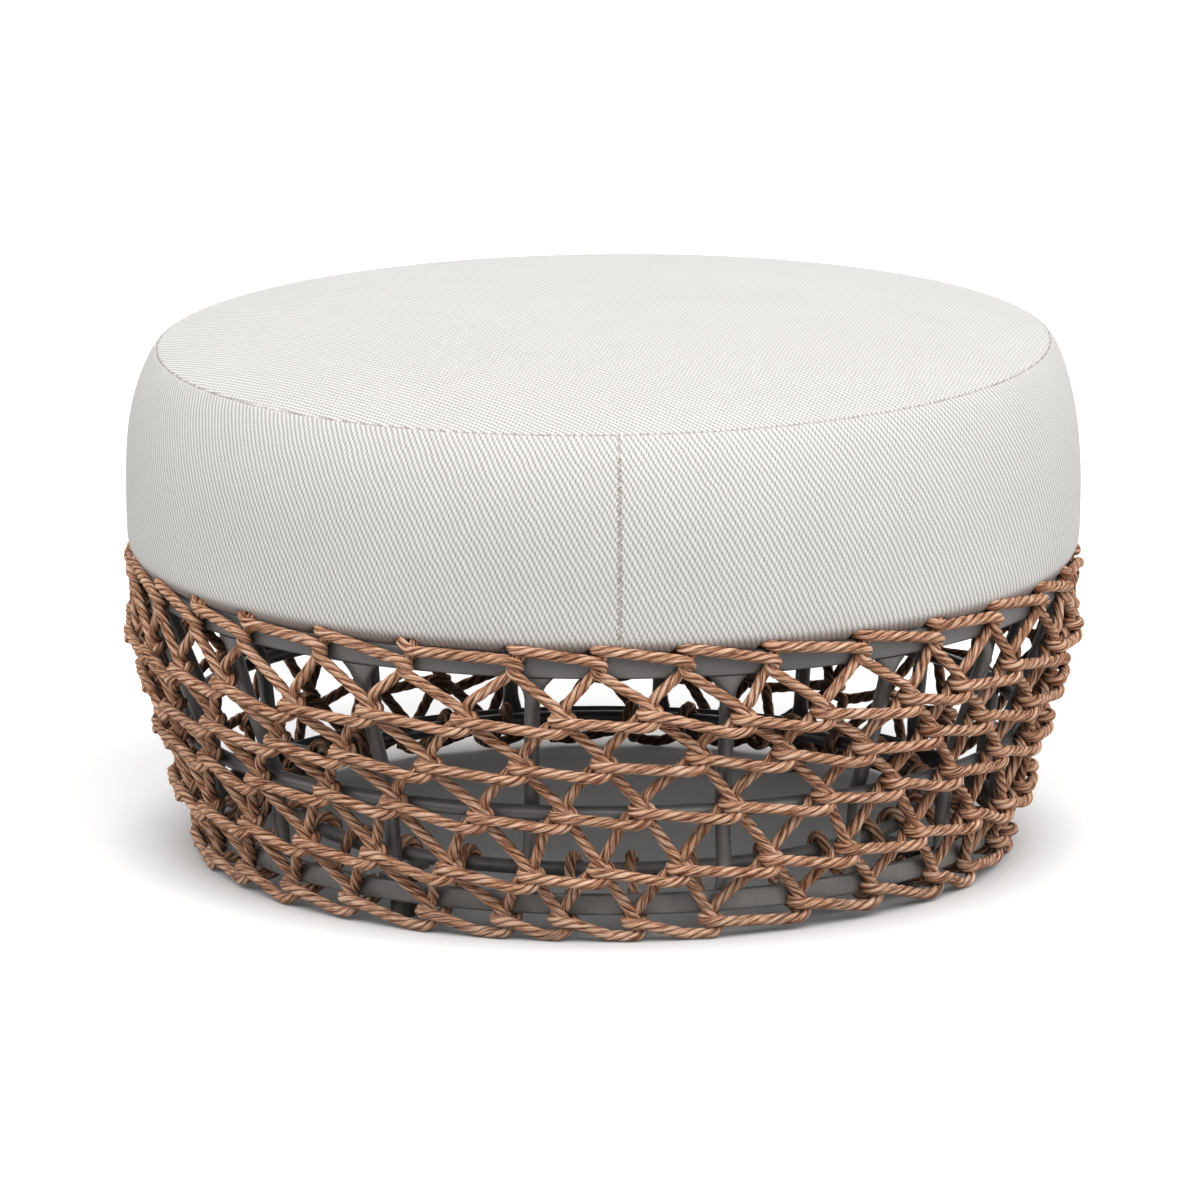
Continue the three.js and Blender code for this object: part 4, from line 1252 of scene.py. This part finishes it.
# %% [markdown]
# ## The cover's fabric
#
# Seen close, the fabric is rows of pale, plump thread floats with grey-beige lines running
# down between them. Two sets of slanted lines, 4.4 mm and 3.1 mm apart, give the lattice:
# where the crests of both meet lies a float. The group puts out how high the thread
# stands, and the material makes colour and relief of it.

# %% Weave group
LINES = {"First": (0.198, 0.109, 0.0), "Second": (0.29, -0.131, 0.0)}
weave, given, result = new_group("weave", "Height", Place=ORIGIN, **LINES)
wobble = noise(weave, given["Place"], 0.045, 1.0)["Color"]
wobble = vector_node(weave, "SUBTRACT", wobble, (0.5, 0.5, 0.5))
wobble = vector_node(weave, "MULTIPLY", wobble, (3.0, 3.0, 0.0))
bent = vector_node(weave, "ADD", given["Place"], wobble)
between = vector_node(weave, "SUBTRACT", given["Second"], given["First"])


def wave_along(ways, repeats=1):
    """A cosine wave that repeats so many times per millimetre along the way given."""
    along = vector_node(weave, "DOT_PRODUCT", bent, ways)
    return math_node(weave, "COSINE", math_node(weave, "MULTIPLY", along, repeats * math.tau))


total = wave_along(given["First"])
for ways, repeats, share in ((given["Second"], 1, 0.5), (between, 1, 0.24), (given["First"], 2, 0.18)):
    total = math_node(weave, "MULTIPLY_ADD", wave_along(ways, repeats), share, total)
weave.links.new(map_range(weave, total, -1.5, 1.8), result)
print("weave group", len(weave.nodes), "nodes")

# %% [markdown]
# ## Fabric and thread
#
# The fabric's colour follows the thread height, from beige-grey lines to off-white
# floats, with fine grain for the single fibres. A stored closeness to the seams darkens
# the stitched line, and the lower edge of the band gets painted shade, tinted brown as a
# painted reflection of the ropes. The sewing thread is olive-beige and the zip's cloth
# pale, and both show the shared fibres.

# %% Fabric and thread materials
cover_fabric, tree, shader = new_material(
    "cover_fabric", Roughness=0.88, Specular_IOR_Level=0.2, Sheen_Weight=0.25, Sheen_Roughness=0.5
)
place = object_place(tree)
threads = use_group(tree, weave, Place=stored(tree, "panel", "Vector"))
speckle = use_group(tree, grain, Place=place, Scale=1500.0, Low=0.25, High=0.75)
colour = ramp(
    tree,
    threads,
    (0.05, (0.28, 0.252, 0.22)),
    (0.2, (0.57, 0.543, 0.507)),
    (0.4, (0.82, 0.797, 0.768)),
    (0.72, (0.96, 0.945, 0.932)),
)
fibre_tone = ramp(tree, speckle, (0.0, 0.94), (1.0, 1.0))
cloud = ramp(tree, noise(tree, place, 14.0, 3.0)["Fac"], (0.3, 0.97), (0.7, 1.0))
for by in (fibre_tone, cloud):
    colour = mix_colour(tree, 1.0, colour, by, "MULTIPLY")
dashes = ramp(tree, noise(tree, place, 170.0, 1.0)["Fac"], (0.42, 0.35), (0.62, 1.0))
stitched = math_node(tree, "MULTIPLY", stored(tree, "seam"), dashes)
colour = mix_colour(tree, stitched, colour, (0.30, 0.235, 0.205))
# Painted shade on the band's lower edge, tinted brown as a painted reflection of the ropes.
edge_shade_share = math_node(tree, "MULTIPLY", stored(tree, "painted_edge_shade"), 0.8)
colour = mix_colour(tree, edge_shade_share, colour, (0.17, 0.105, 0.07))
height = math_node(tree, "MULTIPLY_ADD", speckle, 0.12, threads)
finish_material(tree, shader, colour, None, height, 0.35, 0.0006)

thread_finish = simple_finish(
    "sewing_thread",
    {"Roughness": 0.7},
    fibres,
    {"Stretch": (2500.0, 2500.0, 900.0)},
    [(0.35, (0.17, 0.155, 0.11)), (0.65, (0.44, 0.41, 0.33))],
    (0.4, 0.0003),
)
zip_cloth = simple_finish(
    "zip_cloth",
    {"Roughness": 0.85},
    fibres,
    {"Stretch": (300.0, 300.0, 2600.0)},
    [(0.35, (0.55, 0.53, 0.49)), (0.65, (0.82, 0.80, 0.76))],
    (0.5, 0.0004),
)
COVERED = ["foam_core", "cover_bottom", "cover_band_right", "cover_band_left", "cover_top"]
smooth_by_angle(cushion, 60)
hand_over(cushion, "cushion", cover_fabric, "cushion", COVERED)
print("cushion", [round(v, 4) for v in cushion.dimensions])

# %% [markdown]
# ## Stitches of the upright seams
#
# Two rows of slanted stitches cross each upright seam. One stitch is a small ball drawn
# out to a grain of rice; it is modelled once and copied up the seam, leaning to one side
# on the left and to the other on the right. Each stitch lies on the cushion's own
# surface, which a ray shot towards the axis finds.

# %% Stitches
STITCH_STEP = 4.1
STITCH_LENGTH = 3.4 * MM
STITCH_THICK = 0.9 * MM
STITCH_FLATNESS = 0.8
STITCH_LEAN = math.radians(38)
STITCH_SIDE = 1.5
STITCHES_FROM, STITCHES_TO = 260, SEAM_Z - 12
RAY_START = 0.5
surface = BVHTree.FromPolygons(
    [tuple(point) for point in points_of(cushion)], [tuple(face.vertices) for face in cushion.data.polygons]
)


def join(pieces):
    only(*pieces)
    bpy.ops.object.join()
    return bpy.context.active_object


def on_band(azimuth, z, lift=0.0):
    """The point of the cushion's surface at an azimuth and height, lifted by some mm."""
    start = Vector(polar(azimuth, RAY_START, z * MM))
    hit = surface.ray_cast(start, Vector((-start.x, -start.y, 0)).normalized())[0]
    return hit + Vector(polar(azimuth, lift * MM, 0))


def set_down(first, spot, azimuth, leaning=0.0):
    """A copy that stands at a spot, turned to the azimuth and leaned."""
    made = copy_of(first)
    made.matrix_world = (
        Matrix.Translation(spot) @ Matrix.Rotation(azimuth, 4, "Z") @ Matrix.Rotation(leaning, 4, "Y")
    )
    return made


def row_of_stitches(azimuth):
    made = []
    for index in range(int((STITCHES_TO - STITCHES_FROM) / STITCH_STEP)):
        z = STITCHES_FROM + index * STITCH_STEP
        for side, rise in ((-1, 0), (1, STITCH_STEP / 2)):
            turn = azimuth + side * STITCH_SIDE / BAND_RADIUS
            made.append(set_down(first_stitch, on_band(turn, z + rise), azimuth, -side * STITCH_LEAN))
    return made


deselect()
bpy.ops.mesh.primitive_uv_sphere_add(segments=8, ring_count=6, radius=0.5)
first_stitch = bpy.context.active_object
first_stitch.scale = (STITCH_THICK, STITCH_THICK * STITCH_FLATNESS, STITCH_LENGTH)
bpy.ops.object.transform_apply()
stitches = row_of_stitches(SEAM_AZIMUTH) + row_of_stitches(SEAM_AZIMUTH + math.pi)
bpy.data.objects.remove(first_stitch)
seam_thread = join(stitches)
smooth_by_angle(seam_thread, 80)
hand_over(seam_thread, "seam_thread", thread_finish, "cushion")
print("stitches", len(stitches))

# %% [markdown]
# ## The zip at the back
#
# The cover comes off by a zip low on the back of the band. The tape is a fine grid that
# is laid on the band by the same rays, raised beside its middle, and then thickened. Its
# coil is one ring, flattened and copied along the middle.

# %% Zip
ZIP_Z = 281.6
ZIP_TAPE = 14
ZIP_START = math.radians(125)
ZIP_LENGTH = math.radians(110)
ZIP_TAPER, ZIP_NARROWING = 0.006, 0.7
TAPE_COLUMNS, TAPE_ROWS = 150, 12
LIP_HEIGHT, LIP_MIDDLE, LIP_WIDTH = 1.1, 0.24, 0.1
TAPE_LIFT, COIL_LIFT, SLIDER_LIFT = 0.3, 1.0, 2.4
TAPE_THICK = 0.8 * MM
COIL_STEP = 2.4
COIL_RING = 1.5 * MM
COIL_WIRE = 0.42 * MM
COIL_SHAPE = (1, 0.6, 1.3)
ZIP_RADIUS = 391

deselect()
bpy.ops.mesh.primitive_grid_add(x_subdivisions=TAPE_COLUMNS, y_subdivisions=TAPE_ROWS, size=1)
zip_tape = bpy.context.active_object
spots = []
for x, y, _ in points_of(zip_tape):
    width = ZIP_TAPE * (1 - ZIP_NARROWING * math.exp(-(0.5 - abs(x)) / ZIP_TAPER))
    lip = LIP_HEIGHT * math.exp(-(((abs(y) - LIP_MIDDLE) / LIP_WIDTH) ** 2))
    spots.append(tuple(on_band(ZIP_START + (x + 0.5) * ZIP_LENGTH, ZIP_Z + y * width, TAPE_LIFT + lip)))
set_points(zip_tape, spots)
modify(zip_tape, "SOLIDIFY", thickness=TAPE_THICK, offset=0)
open_edit()
close_edit()
smooth_by_angle(zip_tape, 50)
hand_over(zip_tape, "zip_tape_woven", zip_cloth, "cushion", ["zip_tape"])

deselect()
bpy.ops.mesh.primitive_torus_add(
    major_segments=10, minor_segments=5, major_radius=COIL_RING, minor_radius=COIL_WIRE, rotation=(0, math.pi / 2, 0)
)
first_ring = bpy.context.active_object
bpy.ops.object.transform_apply()
first_ring.scale = COIL_SHAPE
bpy.ops.object.transform_apply()
count = int(ZIP_LENGTH * ZIP_RADIUS / COIL_STEP)
turns = [ZIP_START + ZIP_LENGTH * index / count for index in range(1, count)]
rings = [set_down(first_ring, on_band(turn, ZIP_Z, COIL_LIFT), turn) for turn in turns]
bpy.data.objects.remove(first_ring)
zip_coil = join(rings)
smooth_by_angle(zip_coil, 80)
hand_over(zip_coil, "zip_coil", zip_cloth, "cushion")
print("zip coil", len(rings), "rings")

# %% [markdown]
# ## Slider and pull
#
# The slider is a tapered block with a ring, and its pull is a small rounded plate with a
# hole. Both are blocks with bevelled edges, made flat at the origin with x along the zip
# and -y outwards, and then carried to the start of the tape together.

# %% Slider
SLIDER_SIZE = (12, 2.6, 9)
SLIDER_TAPER = 0.36
SLIDER_ROUND, PULL_ROUND = 0.8, 0.45
PULL_SIZE = (24, 1.0, 5)
PULL_MIDDLE = 23
PULL_OUT = -1.6
HOLE_MIDDLE = 31
HOLE_RADIUS = 1.3
HOLE_DEPTH = 6
LINK_PLACE = (8 * MM, -1.2 * MM, 0)
LINK_RADIUS, LINK_WIRE = 2.6 * MM, 0.55 * MM


def block(size, middle, bevel):
    """A block with rounded edges. All sizes are in mm."""
    deselect()
    bpy.ops.mesh.primitive_cube_add(size=1, location=tuple(part * MM for part in middle))
    made = bpy.context.active_object
    made.scale = tuple(part * MM for part in size)
    bpy.ops.object.transform_apply()
    open_edit()
    bpy.ops.mesh.bevel(offset=bevel * MM, segments=3)
    close_edit()
    return made


slider = block(SLIDER_SIZE, (SLIDER_SIZE[0] / 2, 0, 0), SLIDER_ROUND)
points = points_of(slider)
points[:, 2] *= 1 - SLIDER_TAPER * np.clip(points[:, 0] / (SLIDER_SIZE[0] * MM), 0, 1)
set_points(slider, points)
pull = block(PULL_SIZE, (PULL_MIDDLE, PULL_OUT, 0), PULL_ROUND)
deselect()
bpy.ops.mesh.primitive_cylinder_add(
    vertices=24,
    radius=HOLE_RADIUS * MM,
    depth=HOLE_DEPTH * MM,
    location=(HOLE_MIDDLE * MM, PULL_OUT * MM, 0),
    rotation=(math.pi / 2, 0, 0),
)
drill = bpy.context.active_object
modify(pull, "BOOLEAN", object=drill, operation="DIFFERENCE")
bpy.data.objects.remove(drill)
deselect()
bpy.ops.mesh.primitive_torus_add(
    major_segments=24, minor_segments=8, major_radius=LINK_RADIUS, minor_radius=LINK_WIRE, location=LINK_PLACE
)
slider = join((slider, pull, bpy.context.active_object))
slider.matrix_world = Matrix.Translation(on_band(ZIP_START, ZIP_Z, SLIDER_LIFT)) @ Matrix.Rotation(ZIP_START, 4, "Z")
smooth_by_angle(slider, 40)
hand_over(slider, "zip_slider_and_pull", zip_metal, "cushion", ["zip_slider"])
print("slider", [round(part, 4) for part in slider.dimensions])
